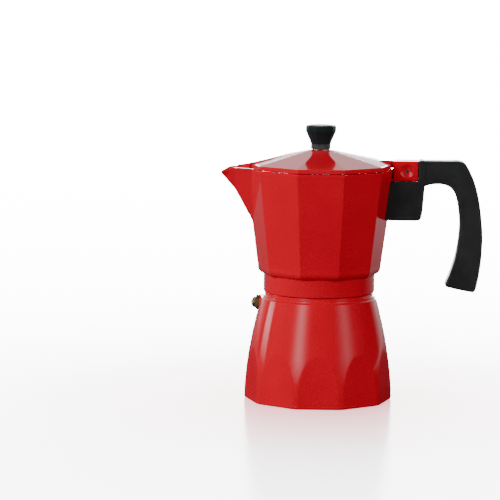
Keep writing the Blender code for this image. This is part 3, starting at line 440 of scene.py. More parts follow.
boss_r, boss_z = boss[:, 0][:, None] + 0 * theta[None], boss[:, 1][:, None] + 0 * theta[None]

# Under the collar: a rounded edge, the threaded bore, the web over the gasket and the column's passage
bore_r = 0.0368
edge = [(collar_r, collar_z + 0.0010), (collar_r - 0.0001, collar_z)]
edge += [(bore_r, collar_z), (bore_r, collar_z + 0.0012)]
edge = fillet(edge, [0, 0.0009, 0.0006, 0], 6)
bore_z = np.linspace(collar_z + 0.0013, 0.0868, 48)
bore = np.stack([np.full_like(bore_z, bore_r), bore_z], 1)
top = [(bore_r, 0.0870), (0.0342, 0.0878), (0.0342, 0.0909), (0.0269, 0.0909), (0.0240, 0.0914)]
top = np.array(top + [(0.0034, 0.0927), (0.0034, 0.0972)])
low_line = np.concatenate([edge, bore, top])
low_r = low_line[:, 0][:, None] + 0 * theta[None]
low_z = low_line[:, 1][:, None]
phase = (low_z - 0.0782) / thread_pitch - theta[None] / (2 * math.pi)
bead = np.clip(np.cos(2 * math.pi * phase), 0, 1) ** 1.3 * 0.00065
bead = bead * np.clip((low_z - 0.0774) / 0.0008, 0, 1) * np.clip((0.0855 - low_z) / 0.0008, 0, 1)
on_bore = (np.arange(len(low_line)) >= len(edge)) & (np.arange(len(low_line)) < len(edge) + len(bore))
low_r = np.where(on_bore[:, None], low_r - bead, low_r)
low_z = low_z + 0 * theta[None]
all_r = np.concatenate([low_r[::-1], r_grid[::-1], inner, floor_r, boss_r])
all_z = np.concatenate([low_z[::-1], z_grid[::-1], in_grid, floor_z, boss_z])
points = turned(all_r, all_z, theta)[::-1]
collector = surface("collector_shell", points, wrap_u=True, body="collector")
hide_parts("collector")
# Lacquer covers the collar's edge, the outside and the first two lines of the rim
bare_below = len(low_r) - len(edge)
lacquered = len(edge) + len(r_grid) + 2
bare_line = np.zeros(len(all_r))
bare_line[:bare_below] = 1.0
bare_line[bare_below + lacquered :] = 1.0
bare_line = bare_line[::-1]
attribute = collector.data.attributes.new("bare", "FLOAT", "POINT")
attribute.data.foreach_set("value", np.repeat(bare_line, len(theta)).astype(np.float32))
collector.data.materials.append(lacquer_material("collector_lacquer_and_metal", True))


def welded(name, grids, body, change=None):
    """One object from several grids of points[u, v], welded where their edges meet."""
    points, quads, first = [], [], 0
    for grid in grids:
        nu, nv = grid.shape[:2]
        a, b = np.meshgrid(np.arange(nu - 1), np.arange(nv - 1), indexing="ij")
        here, below = a * nv + b, (a + 1) * nv + b
        quads.append(np.stack([here, here + 1, below + 1, below], -1).reshape(-1, 4) + first)
        points.append(grid.reshape(-1, 3))
        first += nu * nv
    points, quads = np.concatenate(points), np.concatenate(quads)
    keys, back = np.unique(np.round(points, 7), axis=0, return_inverse=True)
    quads = back.reshape(-1)[quads]
    if change is not None:
        keys = change(keys)
    mesh = bpy.data.meshes.new(name)
    mesh.from_pydata(keys.tolist(), [], quads.tolist())
    mesh.polygons.foreach_set("use_smooth", np.ones(len(quads), bool))
    item = bpy.data.objects.new(name, mesh)
    bpy.context.scene.collection.objects.link(item)
    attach(item, body)
    return item


def rounded_box(name, low, high, radius, count, body, change=None):
    """A box with rounded edges: points on the box are drawn back to its core and pushed out by the radius."""
    low, high = np.array(low, float), np.array(high, float)
    ease = 0.5 - 0.5 * np.cos(np.linspace(0, math.pi, 9))
    grids = []
    for axis in range(3):
        others = [k for k in range(3) if k != axis]
        lines = []
        for k in others:
            edge = low[k] + radius * ease
            middle = np.linspace(low[k] + radius, high[k] - radius, count)[1:-1]
            lines.append(np.concatenate([edge, middle, high[k] - radius * ease[::-1]]))
        u, v = np.meshgrid(*lines, indexing="ij")
        for end in (0, 1):
            grid = np.zeros((*u.shape, 3))
            grid[..., others[0]], grid[..., others[1]] = u, v
            grid[..., axis] = (low, high)[end][axis]
            if (end == 1) == (axis != 1):
                grid = grid[::-1]
            core = np.clip(grid, low + radius, high - radius)
            away = grid - core
            away /= np.maximum(np.linalg.norm(away, axis=-1, keepdims=True), 1e-9)
            grids.append(core + away * radius)
    return welded(name, grids, body, change)


hinge_x, hinge_z = 0.0603, 0.1618


def dished(side):
    """Pushes in the points of one side face by a shallow spherical dish about the hinge axis."""

    def change(points):
        far = np.hypot(points[:, 0] - hinge_x, points[:, 2] - hinge_z)
        deep = 0.0014 * np.clip(1 - (far / 0.0048) ** 2, 0, 1)
        near = np.abs(points[:, 1] - side * 0.0065) < 0.0001
        points[:, 1] -= np.where(near, side * deep, 0)
        return points

    return change


ear_red = lacquer_material("ear_lacquer", False)
for side in (-1, 1):
    y0, y1 = sorted((side * 0.0034, side * 0.0065))
    label = "hinge_ear_%s" % ("near" if side < 0 else "far")
    low, high = (0.0508, y0, 0.1549), (0.0681, y1, 0.1689)
    ear = rounded_box(label, low, high, 0.0006, 60, "collector", dished(side))
    ear.data.materials.append(ear_red)
low, high = (0.0470, -0.0062, 0.1548), (0.0680, 0.0062, 0.1562)
ear_floor = rounded_box("hinge_slot_floor", low, high, 0.0003, 8, "collector")
low, high = (0.0450, -0.0042, 0.1310), (0.0607, 0.0042, 0.1510)
tongue = rounded_box("handle_tongue", low, high, 0.0005, 8, "collector")
for item in (ear_floor, tongue):
    item.data.materials.append(ear_red)

# ---------------------------------------------------------------------------
# Lid: a pressed ten-sided roof with an upright rim, lacquered above and bare below, with the flat kite over the
# spout and the hinge tab. The roof is a polar height surface whose level lines are ten-sided.
lid_z, lid_edge, apex_r, apex_z, lid_sheet = 0.1633, 0.0031, 0.0070, 0.1758, 0.0018
roof_r = rim_r - 0.0004
slope = (apex_z - lid_z - lid_edge) / (roof_r - apex_r)
offsets = np.concatenate([np.linspace(-1.5, 1.5, 15), np.linspace(2.4, 33.6, 30)])
theta = (ridge[:, None] + np.deg2rad(offsets)[None]).ravel()
theta = np.concatenate([theta, np.deg2rad([11.5, 11.9, 348.1, 348.5])])
theta = np.unique(np.round(theta % (2 * math.pi), 7))
reach = np.concatenate([[0.00005, 0.0040, 0.0066], np.linspace(0.0070, roof_r, 40)])
top_r = decagon(theta[None], reach[:, None], 0.00016)
top_z = np.where(reach <= 0.0068, apex_z, apex_z - (reach - apex_r) * slope)[:, None] + 0 * theta[None]
side = [(0.0000, 0.0000), (0.00022, -0.00008), (0.0004, -0.0003), (0.00048, -0.0007)]
side = np.array(side + [(0.0005, -0.0012), (0.0006, -0.0028), (0.0006, -0.00295), (0.00045, -0.0031)])
side_r = decagon(theta[None], (roof_r + side[:, 0])[:, None], 0.00016)
side_z = (lid_z + lid_edge + side[:, 1])[:, None] + 0 * theta[None]
under_reach = [rim_r + 0.0002 - lid_sheet, rim_r + 0.0001 - lid_sheet, rim_r - 0.0004 - lid_sheet]
under_reach = np.array(under_reach + [0.0300, apex_r, 0.0023])
under_r = decagon(theta[None], under_reach[:, None], 0.0002)
under_z = np.array([lid_z, lid_z + 0.0010, lid_z + lid_edge - lid_sheet * 0.9, 0, 0, 0])
under_z[3] = apex_z - lid_sheet - (0.0300 - apex_r) * slope
under_z[4:] = apex_z - lid_sheet
under_z = under_z[:, None] + 0 * theta[None]
all_r = np.concatenate([top_r, side_r, under_r])
all_z = np.concatenate([top_z, side_z, under_z])
turn = np.abs((theta + math.pi) % (2 * math.pi) - math.pi)
limit = np.where(turn < math.radians(11.7), (hinge_x - 0.0118) / np.cos(turn), 1.0)[None]
is_top = (np.arange(len(all_r)) < len(top_r))[:, None]
all_z = np.where((all_r > limit) & is_top, apex_z - (limit * np.cos(turn)[None] - apex_r) * slope, all_z)
all_r = np.minimum(all_r, limit)
points = turned(all_r, all_z, theta)
lid = surface("lid_roof", points, wrap_u=True, body="lid")
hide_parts("lid")
bare_line = np.concatenate([np.zeros(len(top_r) + len(side_r)), np.ones(len(under_r))])
attribute = lid.data.attributes.new("bare", "FLOAT", "POINT")
attribute.data.foreach_set("value", np.repeat(bare_line, len(theta)).astype(np.float32))
lid.data.materials.append(lacquer_material("lid_lacquer_and_metal", True))


def round_corners(corners, reach, steps=7):
    """A closed polygon whose corners are short parabolic arcs that start a given reach from the corner."""
    corners = [np.array(c, float) for c in corners]
    made = []
    for i, c in enumerate(corners):
        before, after = corners[i - 1] - c, corners[(i + 1) % len(corners)] - c
        start = c + before * min(reach / np.linalg.norm(before), 0.45)
        stop = c + after * min(reach / np.linalg.norm(after), 0.45)
        made += [(1 - t) ** 2 * start + 2 * t * (1 - t) * c + t**2 * stop for t in np.linspace(0, 1, steps)]
    return np.array(made)


def slab(outline, low, high, radius):
    """Points and faces of a flat outline of (a, b) points between two levels, with rounded edges.

    The edges are rings of the outline drawn inwards, by less where the outline bends tightly.
    """
    flat = np.array(outline, float)
    ahead = np.roll(flat, -1, 0) - flat
    behind = flat - np.roll(flat, 1, 0)
    tangent = ahead / np.linalg.norm(ahead, axis=1, keepdims=True)
    tangent = tangent + behind / np.linalg.norm(behind, axis=1, keepdims=True)
    tangent /= np.linalg.norm(tangent, axis=1, keepdims=True)
    area = 0.5 * np.sum(flat[:, 0] * np.roll(flat[:, 1], -1) - np.roll(flat[:, 0], -1) * flat[:, 1])
    inward = np.stack([-tangent[:, 1], tangent[:, 0]], 1) * np.sign(area)
    cross = behind[:, 0] * ahead[:, 1] - behind[:, 1] * ahead[:, 0]
    bent = np.arctan2(cross * np.sign(area), np.sum(behind * ahead, 1))
    length = (np.linalg.norm(ahead, axis=1) + np.linalg.norm(behind, axis=1)) / 2
    room = np.where(bent > 0.02, 0.8 * length / np.maximum(bent, 0.02), 1.0)
    for _ in range(3):
        room = np.minimum(room, np.minimum(np.roll(room, 1), np.roll(room, -1)))
    room = np.minimum(room, radius + 0.00012)
    for _ in range(4):
        room = (np.roll(room, 1) + 2 * room + np.roll(room, -1)) / 4
    inward = inward * (room / (radius + 0.00012))[:, None]
    bend = np.linspace(0, math.pi / 2, 7)
    rings = [(radius + 0.00012, 0.0)] + [(radius * (1 - math.sin(a)), radius * (1 - math.cos(a))) for a in bend]
    rings += [(inset, (high - low) - lift) for inset, lift in rings[::-1]]
    level = np.ones((len(flat), 1))
    points = np.array([np.hstack([flat + inward * inset, level * (low + lift)]) for inset, lift in rings])
    if area > 0:
        points = points[:, ::-1]
    n = len(flat)
    a, b = np.meshgrid(np.arange(len(rings) - 1), np.arange(n), indexing="ij")
    b2 = (b + 1) % n
    quads = np.stack([a * n + b, (a + 1) * n + b, (a + 1) * n + b2, a * n + b2], -1).reshape(-1, 4)
    caps = [list(range(n)), [(len(rings) - 1) * n + k for k in range(n)][::-1]]
    return points.reshape(-1, 3), quads.tolist() + caps


def body_from(name, points, faces, body, material):
    """An object made from points and faces, which rides on a body and wears one material."""
    mesh = bpy.data.meshes.new(name)
    mesh.from_pydata(points.tolist(), [], faces)
    mesh.polygons.foreach_set("use_smooth", np.ones(len(faces), bool))
    item = bpy.data.objects.new(name, mesh)
    bpy.context.scene.collection.objects.link(item)
    item.data.materials.append(material)
    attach(item, body)
    return item


plan = [(0.0579, 0.0084), (0.0496, 0.0140), (0.0372, 0.0092), (0.0252, 0.0030)]
kite = [(-r, -h) for r, h in plan] + [(-r, h) for r, h in reversed(plan)]
points, faces = slab(round_corners(kite, 0.0009), 0.0, 1.0, 0.00045)
ridge_z = lid_z + lid_edge + (roof_r + points[:, 0]) * slope + 0.0001
inner_part = points[:, 2] < 0.5
points[:, 2] = np.where(inner_part, lid_z + points[:, 2], ridge_z - (1.0 - points[:, 2]))
kite_red = lacquer_material("tab_lacquer", False)
kite_body = body_from("lid_spout_cover", points, faces, "lid", kite_red)
tab = rounded_box("lid_tab", (0.0398, -0.0030, 0.1650), (0.0522, 0.0030, 0.1688), 0.0005, 8, "lid")
neck = rounded_box("lid_neck", (0.0453, -0.0028, 0.1637), (0.0600, 0.0028, 0.1652), 0.0003, 8, "lid")
pad = rounded_box("lid_pad", (0.0567, -0.0029, 0.1644), (0.0618, 0.0029, 0.1683), 0.0004, 8, "lid")
spin = np.linspace(0, 2 * math.pi, 97)[:-1]
knuckle_line = [(0.0015, -0.0031), (0.0050, -0.0031), (0.0050, 0.0031), (0.0015, 0.0031)]
knuckle_line = fillet(knuckle_line, [0, 0.0004, 0.0004, 0], 6)
kr, ky = knuckle_line[:, 0][:, None], knuckle_line[:, 1][:, None]
knuckle_x, knuckle_z = hinge_x + kr * np.cos(spin)[None], hinge_z + kr * np.sin(spin)[None]
points = np.stack([knuckle_x, ky + 0 * spin[None], knuckle_z], -1)
knuckle = surface("lid_knuckle", points, wrap_u=True, body="lid")
for item in (tab, neck, pad, knuckle):
    item.data.materials.append(kite_red)

# ---------------------------------------------------------------------------
# Knob and its neck: a ten-sided flare of black phenolic over a short dark grey ring, both with softened ridges;
# the ring is made lighter than the knob as painted light, where the neck catches the light.
# Both are polar surfaces about Z, and a screw from below holds them on the lid's apex.


def moulding_material(name, colour, rough, grain_size, shine=0.5):
    """Matt moulding: slightly uneven sheen, a very fine grain and faint rubbed patches."""
    made, tree, shader = principled(name)
    shader.inputs["Specular IOR Level"].default_value = shine
    place = tree.nodes.new("ShaderNodeTexCoord").outputs["Object"]
    patches = noise(tree, place, 70.0, 3.0)
    grain = noise(tree, place, grain_size, 2.0)
    lighter = tuple(c * 1.5 + 0.002 for c in colour)
    colour = blend_colour(tree, span(tree, patches, 0.3, 0.75, 0.0, 1.0), colour, lighter)
    wire(tree, colour, shader.inputs["Base Color"])
    wire(tree, span(tree, patches, 0.3, 0.7, rough - 0.04, rough + 0.05), shader.inputs["Roughness"])
    wire(tree, bump(tree, grain, 0.25, 0.00008), shader.inputs["Normal"])
    return made


offsets = np.concatenate([np.linspace(-4, 4, 13), np.linspace(6, 30, 9)])
theta = (ridge[:, None] + np.deg2rad(offsets)[None]).ravel()
theta = np.sort(theta % (2 * math.pi))
flare_z = np.linspace(0.1882, 0.1799, 24)
flare_r = 0.0105 - (0.0105 - 0.0070) * (1 - np.clip(1 - (0.1882 - flare_z) / 0.0083, 0, 1) ** 1.08)
top_line = [(0.00005, 0.1930), (0.0064, 0.1930), (0.0102, 0.1927), (0.0107, 0.1918)]
top_line += [(0.0107, 0.1888), (0.0105, 0.1882)]
top_line = fillet(top_line, [0, 0.002, 0.0006, 0.0008, 0.0007, 0], 7)
low_line = fillet([(0.0070, 0.1799), (0.0069, 0.1797), (0.0023, 0.1797)], [0, 0.0003, 0], 4)
line = np.concatenate([subdivide(top_line, 0.0012), np.stack([flare_r, flare_z], 1)[1:], low_line])
knob_r = decagon(theta[None], line[:, 0][:, None], 0.00010)
knob = surface("knob_flare", turned(knob_r, line[:, 1][:, None], theta), caps=True, body="lid")
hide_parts("knob")
knob.data.materials.append(moulding_material("knob_black", (0.0070, 0.0120, 0.0125), 0.52, 2600.0, 0.10))
line = [(0.0023, 0.1796), (0.0069, 0.1796), (0.0070, 0.1761), (0.0023, 0.1761)]
line = fillet(line, [0, 0.0003, 0.0002, 0], 5)
ring_r = decagon(theta[None], line[:, 0][:, None], 0.00010)
ring = surface("knob_ring", turned(ring_r, line[:, 1][:, None], theta), wrap_u=True, body="lid")
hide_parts("knob_insert")
# Dark grey, made lighter than the knob: painted light where the neck catches the light
ring.data.materials.append(moulding_material("knob_neck_grey_painted_light", (0.026, 0.031, 0.028), 0.50, 1800.0, 0.2))

# ---------------------------------------------------------------------------
# Handle: black moulding. An upright block sits on the jug's ridge with a notch for the hinge, and a flat grip
# with rounded edges sweeps out and down from it.


def spline(points, count):
    """A closed centripetal curve through points. Corners are given twice so that they stay sharp."""
    points = np.array(points, float)
    n = len(points)
    made = []
    for i in range(n):
        p0, p1, p2, p3 = points[i - 1], points[i], points[(i + 1) % n], points[(i + 2) % n]
        if np.allclose(p1, p2):
            continue
        m1 = np.zeros(2) if np.allclose(p0, p1) else (p2 - p0) / 2
        m2 = np.zeros(2) if np.allclose(p2, p3) else (p3 - p1) / 2
        if np.allclose(p0, p1) or np.allclose(p2, p3):
            m1 = (p2 - p1) if np.allclose(p0, p1) else m1
            m2 = (p2 - p1) if np.allclose(p2, p3) else m2
        size = np.linalg.norm(p2 - p1)
        m1 = m1 / max(np.linalg.norm(m1), 1e-9) * size
        m2 = m2 / max(np.linalg.norm(m2), 1e-9) * size
        for t in np.linspace(0, 1, count, endpoint=False):
            made.append(
                (2 * t**3 - 3 * t**2 + 1) * p1 + (t**3 - 2 * t**2 + t) * m1
                + (-2 * t**3 + 3 * t**2) * p2 + (t**3 - t**2) * m2
            )
    return np.array(made)


edge_x, edge_z = 0.0527, 0.1630
# The grip's outline in millimetres from the corner above the jug's ridge: the top edge, the back, the heel,
# the inside of the curve and the underside
grip_mm = [(17.0, 0.0), (17.0, 3.6), (17.8, 5.2), (19.6, 5.9), (28.0, 5.95), (38.0, 6.0), (44.6, 6.0)]
grip_mm += [(48.3, 4.2)]
grip_mm += [(51.3, -0.6), (54.4, -7.2), (57.3, -16.8), (59.5, -29.0), (60.9, -42.0), (61.1, -52.0)]
grip_mm += [(60.5, -64.0), (59.0, -75.0), (57.4, -83.0), (56.4, -85.4), (54.4, -86.1), (38.0, -82.9)]
grip_mm += [(36.0, -82.0), (35.8, -80.2), (39.3, -71.0), (42.5, -60.5), (44.4, -49.0), (45.1, -39.0)]
grip_mm += [(44.4, -29.5), (42.7, -20.5), (40.2, -15.0), (37.2, -12.0), (32.6, -10.4), (26.0, -10.3)]
grip_mm += [(21.6, -11.4), (19.0, -12.6), (17.4, -11.6), (17.0, -9.0)]
outline = spline(np.array(grip_mm) / 1000 + [edge_x, edge_z], 7)
points, faces = slab(outline, -0.0066, 0.0066, 0.0013)
points = points[:, [0, 2, 1]]
faces = [list(f)[::-1] for f in faces]
handle_black = moulding_material("handle_black", (0.0125, 0.0125, 0.0130), 0.38, 2200.0)
grip = body_from("handle_grip", points, faces, "collector", handle_black)
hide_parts("handle")


def inner_x(z):
    """Where the block ends inside the jug's wall at a height."""
    return cup_corner(z) - 0.0026


block = [(inner_x(0.1270), 0.1270), (inner_x(0.1545), 0.1545), (0.0684, 0.1545), (0.0684, 0.1693)]
block += [(0.0731, 0.1693)]
block += [(0.0730, 0.1530), (0.0722, 0.1410), (0.0711, 0.1300), (0.0700, 0.1276), (0.0676, 0.1270)]
points, faces = slab(round_corners(block, 0.0014), -0.0072, 0.0072, 0.0008)
points = points[:, [0, 2, 1]]
faces = [list(f)[::-1] for f in faces]
block_body = body_from("handle_block", points, faces, "collector", handle_black)

# ---------------------------------------------------------------------------
# Metal fittings: the brass valve, the spun and pressed aluminium of funnel, plates and column, and the steel
# screws, washers, spring and hinge pin. All but the spring, drawn as a wire, keep their own solids.


def metal_material(name, dark, light, rough, turning, grain_size):
    """Bare metal: cloudy tone, turning or drawing marks along one direction, and fine pits in the sheen."""
    made, tree, shader = principled(name)
    place = tree.nodes.new("ShaderNodeTexCoord").outputs["Object"]
    cloud = noise(tree, place, 160.0, 4.0, 0.6)
    marks = noise(tree, place, 240.0, 2.0, 0.5, turning)
    grain = noise(tree, place, grain_size, 2.0)
    tone = blend_colour(tree, span(tree, cloud, 0.3, 0.7, 0.0, 1.0), dark, light)
    wire(tree, tone, shader.inputs["Base Color"])
    shader.inputs["Metallic"].default_value = 1.0
    uneven = span(tree, cloud, 0.3, 0.7, rough - 0.05, rough + 0.06)
    uneven = maths(tree, "ADD", uneven, span(tree, grain, 0.6, 0.8, 0.0, 0.1))
    wire(tree, uneven, shader.inputs["Roughness"])
    relief = maths(tree, "ADD", marks, maths(tree, "MULTIPLY", grain, 0.4))
    wire(tree, bump(tree, relief, 0.3, 0.00005), shader.inputs["Normal"])
    return made


def soft_material(name, dark, light, rough, grain_size):
    """Silicone or fibre: a dull surface with a cloudy tone and a fine grain."""
    made, tree, shader = principled(name)
    place = tree.nodes.new("ShaderNodeTexCoord").outputs["Object"]
    cloud = noise(tree, place, 120.0, 3.0)
    tone = blend_colour(tree, span(tree, cloud, 0.3, 0.7, 0.0, 1.0), dark, light)
    wire(tree, tone, shader.inputs["Base Color"])
    wire(tree, span(tree, cloud, 0.3, 0.7, rough - 0.06, rough + 0.06), shader.inputs["Roughness"])
    wire(tree, bump(tree, noise(tree, place, grain_size, 2.0), 0.3, 0.00008), shader.inputs["Normal"])
    shader.inputs["Specular IOR Level"].default_value = 0.35
    return made


valve_dir = np.array([math.cos(math.radians(160)), math.sin(math.radians(160)), 0.0])
valve_side = np.array([-valve_dir[1], valve_dir[0], 0.0])
valve_up = np.array([0.0, 0.0, 1.0])
valve_height = np.array([0.0, 0.0, 0.0650])


def about_valve(along, across, angle):
    """Points at a distance along the valve's axis, a distance across it and an angle about it."""
    out = along[..., None] * valve_dir + valve_height
    sideways = np.cos(angle)[..., None] * valve_side + np.sin(angle)[..., None] * valve_up
    return out + across[..., None] * sideways


spin = np.linspace(0, 2 * math.pi, 65)[:-1]
line = fillet([(0.0020, 0.0423), (0.0068, 0.0423), (0.0068, 0.0375)], [0, 0.0005, 0], 7)
every = np.zeros((len(line), len(spin)))
grid = about_valve(line[:, 1][:, None] + every, line[:, 0][:, None] + every, spin[None] + every)
boss = surface("valve_boss", grid, caps=True, body="boiler")
boss.data.materials.append(ear_red)

# The spring's wire: rings of a thin tube carried along a helix inside the valve, closed at both ends
wire_r, coil_r, first_z, last_z, turns = 0.00022, 0.0018, 0.03813, 0.04769, 6
run = np.linspace(0, 1, turns * 28 + 1)
swing = 2 * math.pi * turns * run
thick = np.where((run == 0) | (run == 1), 0.02, 1.0) * wire_r
ring_at = np.linspace(0, 2 * math.pi, 11)[:-1]
across = coil_r + thick[:, None] * np.cos(ring_at)[None]
along_axis = (first_z + (last_z - first_z) * run)[:, None] + thick[:, None] * np.sin(ring_at)[None]
grid = about_valve(along_axis, across, swing[:, None] + 0 * ring_at[None])
spring = surface("valve_spring_wire", grid, caps=True, body="boiler")
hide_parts("valve_spring")
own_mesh(spring)

around, along_z, even = (0.3, 0.3, 12.0), (8.0, 8.0, 0.4), (1.0, 1.0, 1.0)
metals = {
    "valve_body": ((0.30, 0.20, 0.07), (0.46, 0.33, 0.13), 0.30, around, 2600.0),
    "valve_cap": ((0.30, 0.20, 0.07), (0.44, 0.31, 0.12), 0.34, around, 2400.0),
    "valve_piston": ((0.34, 0.24, 0.09), (0.50, 0.37, 0.16), 0.24, around, 2600.0),
    "valve_spring": ((0.46, 0.46, 0.47), (0.60, 0.60, 0.61), 0.24, even, 3000.0),
    "funnel_basket": ((0.58, 0.58, 0.57), (0.72, 0.72, 0.71), 0.32, around, 1500.0),
    "funnel_tube": ((0.56, 0.56, 0.55), (0.70, 0.70, 0.69), 0.30, along_z, 1500.0),
    "basket_plate": ((0.60, 0.60, 0.59), (0.74, 0.74, 0.73), 0.30, around, 1500.0),
    "filter_disc": ((0.62, 0.62, 0.61), (0.76, 0.76, 0.75), 0.28, around, 1500.0),
    "column": ((0.57, 0.57, 0.56), (0.71, 0.71, 0.70), 0.30, along_z, 1500.0),
    "hinge_pin": ((0.50, 0.50, 0.51), (0.66, 0.66, 0.67), 0.26, even, 2600.0),
    "knob_screw": ((0.48, 0.48, 0.49), (0.62, 0.62, 0.63), 0.26, around, 2600.0),
    "knob_washer": ((0.48, 0.48, 0.49), (0.62, 0.62, 0.63), 0.30, around, 2600.0),
    "handle_screw": ((0.48, 0.48, 0.49), (0.62, 0.62, 0.63), 0.26, even, 2600.0),
    "handle_washer": ((0.48, 0.48, 0.49), (0.62, 0.62, 0.63), 0.30, even, 2600.0),
}
finishes = {name: metal_material(name + "_finish", *values) for name, values in metals.items()}
finishes["gasket"] = soft_material("gasket_finish", (0.66, 0.65, 0.61), (0.78, 0.77, 0.73), 0.55, 1400.0)
fibre = ((0.20, 0.07, 0.04), (0.30, 0.11, 0.07), 0.75, 2400.0)
finishes["valve_washer"] = soft_material("valve_washer_finish", *fibre)
for name, finish in finishes.items():
    node = spring if name == "valve_spring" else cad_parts[name]
    node.data.materials.clear()
    node.data.materials.append(finish)

# ---------------------------------------------------------------------------
# Camera, floor and light: a pale glossy table in a bright studio. The background is white, the side towards
# the camera is dark, and large soft panels stand to the left, to the right and above.
cam_data = bpy.data.cameras.new("camera")
camera = bpy.data.objects.new("camera", cam_data)
bpy.context.scene.collection.objects.link(camera)
bpy.context.scene.camera = camera
cam_data.sensor_width = 36.0
cam_data.lens = 205.0
cam_data.dof.use_dof = False
distance, rise, side_step = 2.0, math.radians(7.56), math.radians(-0.45)
camera.location = (
    distance * math.cos(rise) * math.sin(side_step),
    -distance * math.cos(rise) * math.cos(side_step),
    0.1 + distance * math.sin(rise),
)
turn, tilt, roll = math.radians(0.958), math.radians(-7.439), math.radians(0.58)
forward = Vector((-math.sin(turn) * math.cos(tilt), math.cos(turn) * math.cos(tilt), math.sin(tilt)))
camera.rotation_mode = "QUATERNION"
camera.rotation_quaternion = (
    forward.to_track_quat("-Z", "Y").to_matrix() @ Matrix.Rotation(roll, 3, "Z")
).to_quaternion()
cam_data.clip_start, cam_data.clip_end = 0.05, 50.0

span_m = 6.0
left_edge = [[-span_m, -span_m, -0.0003], [-span_m, span_m, -0.0003]]
right_edge = [[span_m, -span_m, -0.0003], [span_m, span_m, -0.0003]]
corners = np.array([left_edge, right_edge])
floor = surface("table_top", corners, wrap_v=False)
floor.data.flip_normals()
made, tree, shader = principled("table_gloss")
place = tree.nodes.new("ShaderNodeTexCoord").outputs["Object"]
seen = tree.nodes.new("ShaderNodeLightPath").outputs["Is Camera Ray"]
# Camera rays see a pale glossy table; all other rays see it nearly black and without shine, painted darkness in
# the light it throws back onto the pot
wire(tree, blend_colour(tree, seen, (0.04, 0.04, 0.04), (0.70, 0.70, 0.70)), shader.inputs["Base Color"])
wire(tree, maths(tree, "MULTIPLY", seen, 0.8), shader.inputs["Specular IOR Level"])
shader.inputs["Roughness"].default_value = 0.20
wire(tree, bump(tree, noise(tree, place, 180.0, 2.0), 0.02, 0.0003), shader.inputs["Normal"])
# Painted light: for camera rays the table glows, more the farther it lies from the pot, as an overexposed studio
# table does; its dimmer glow near the pot is painted shade round the pot's foot
span_node = tree.nodes.new("ShaderNodeVectorMath")
span_node.operation = "LENGTH"
wire(tree, place, span_node.inputs[0])
away = span_node.outputs["Value"]
far = maths(tree, "POWER", span(tree, away, 0.05, 0.50, 0.22, 1.0), 0.8)
across = tree.nodes.new("ShaderNodeSeparateXYZ")
wire(tree, place, across.inputs[0])
# For all other rays it glows behind the pot, more towards the right: painted light that the pot shows as a
# reflection on its sides
behind = span(tree, across.outputs["Y"], 0.15, 0.90, 0.0, 0.6)
behind = maths(tree, "MULTIPLY", behind, maths(tree, "SUBTRACT", 1.0, seen))
behind = maths(tree, "MULTIPLY", behind, span(tree, across.outputs["X"], -0.40, 0.40, 0.35, 1.0))
glow = maths(tree, "ADD", maths(tree, "MULTIPLY", maths(tree, "MULTIPLY", far, seen), 6.0), behind)
wire(tree, glow, shader.inputs["Emission Strength"])
# and close to the pot its glow turns pink: a painted red reflection, the red that the pot throws on it
painted_red_reflection = blend_colour(tree, span(tree, away, 0.06, 0.22, 0.0, 1.0), (1.0, 0.42, 0.46), (1.0, 1.0, 1.0))
wire(tree, painted_red_reflection, shader.inputs["Emission Color"])
floor.data.materials.append(made)

world = bpy.data.worlds.new("studio")
bpy.context.scene.world = world
world.use_nodes = True
tree = world.node_tree
back = tree.nodes["Background"]
direction = tree.nodes.new("ShaderNodeTexCoord").outputs["Generated"]
parts = tree.nodes.new("ShaderNodeSeparateXYZ")
wire(tree, direction, parts.inputs[0])
# A very bright wall stands straight behind, low down; the rest of the room dims towards the camera's side.
behind = span(tree, parts.outputs["Y"], 0.86, 0.97, 0.0, 1.0)
low_down = span(tree, parts.outputs["Z"], 0.150, 0.200, 1.0, 0.0)
wall_glow = maths(tree, "MULTIPLY", maths(tree, "MULTIPLY", behind, low_down), 26.0)
room = span(tree, parts.outputs["Y"], 0.50, 0.90, 0.04, 1.15)
level = maths(tree, "ADD", wall_glow, room)
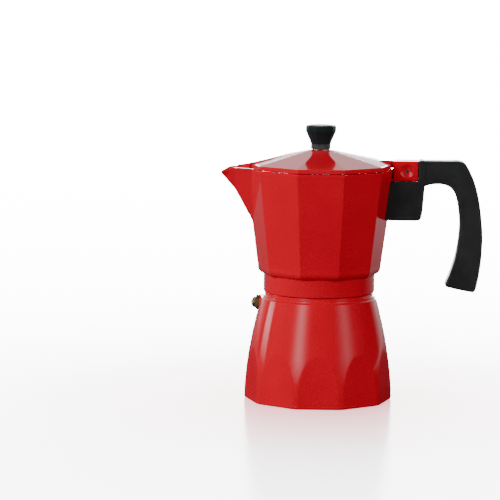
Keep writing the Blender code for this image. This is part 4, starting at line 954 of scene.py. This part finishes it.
# Tall soft boxes, seen only as reflections: azimuth is counted from the camera's side towards the handle.
azimuth = maths(tree, "ARCTAN2", parts.outputs["X"], maths(tree, "MULTIPLY", parts.outputs["Y"], -1.0))
rise = maths(tree, "ARCSINE", parts.outputs["Z"])


def strip(azimuth_at, half_width, low, high, glow, soft=2.0):
    """A soft upright strip of light about an azimuth, between two elevations, all in degrees."""
    off = maths(tree, "SUBTRACT", azimuth, math.radians(azimuth_at))
    off = maths(tree, "ABSOLUTE", maths(tree, "DIVIDE", off, math.radians(half_width)))
    bell = maths(tree, "EXPONENT", maths(tree, "MULTIPLY", maths(tree, "POWER", off, soft), -1.0))
    foot = span(tree, rise, math.radians(low - 4), math.radians(low + 4), 0.0, 1.0)
    head = span(tree, rise, math.radians(high - 4), math.radians(high + 4), 1.0, 0.0)
    return maths(tree, "MULTIPLY", maths(tree, "MULTIPLY", bell, foot), maths(tree, "MULTIPLY", head, glow))


for shape in ((-33, 10, 4, 44, 3.6), (50, 11, 4, 44, 1.3), (-106, 8, 4, 13, 5.0, 8.0)):
    level = maths(tree, "ADD", level, strip(*shape))
path = tree.nodes.new("ShaderNodeLightPath")
level = maths(tree, "MAXIMUM", level, maths(tree, "MULTIPLY", path.outputs["Is Camera Ray"], 14.3))
wire(tree, level, back.inputs["Strength"])
back.inputs["Color"].default_value = (1.0, 1.0, 1.0, 1.0)


def panel(name, middle, aim, wide, high, power, colour=(1, 1, 1)):
    """A rectangular area light that faces a point."""
    data = bpy.data.lights.new(name, "AREA")
    data.shape = "RECTANGLE"
    data.size, data.size_y = wide, high
    data.energy = power
    data.color = colour
    lamp = bpy.data.objects.new(name, data)
    bpy.context.scene.collection.objects.link(lamp)
    lamp.location = middle
    lamp.rotation_euler = (Vector(aim) - Vector(middle)).to_track_quat("-Z", "Y").to_euler()
    lamp.visible_glossy = False
    return lamp


panel("left_soft", (-1.20, -0.60, 0.58), (0, 0, 0.1), 1.9, 1.0, 37.0)
panel("right_soft", (1.18, -0.70, 0.55), (0, 0, 0.1), 1.4, 1.0, 14.0)
panel("top_soft", (0.0, -0.1, 1.7), (0, 0, 0.1), 1.6, 1.3, 6.0)
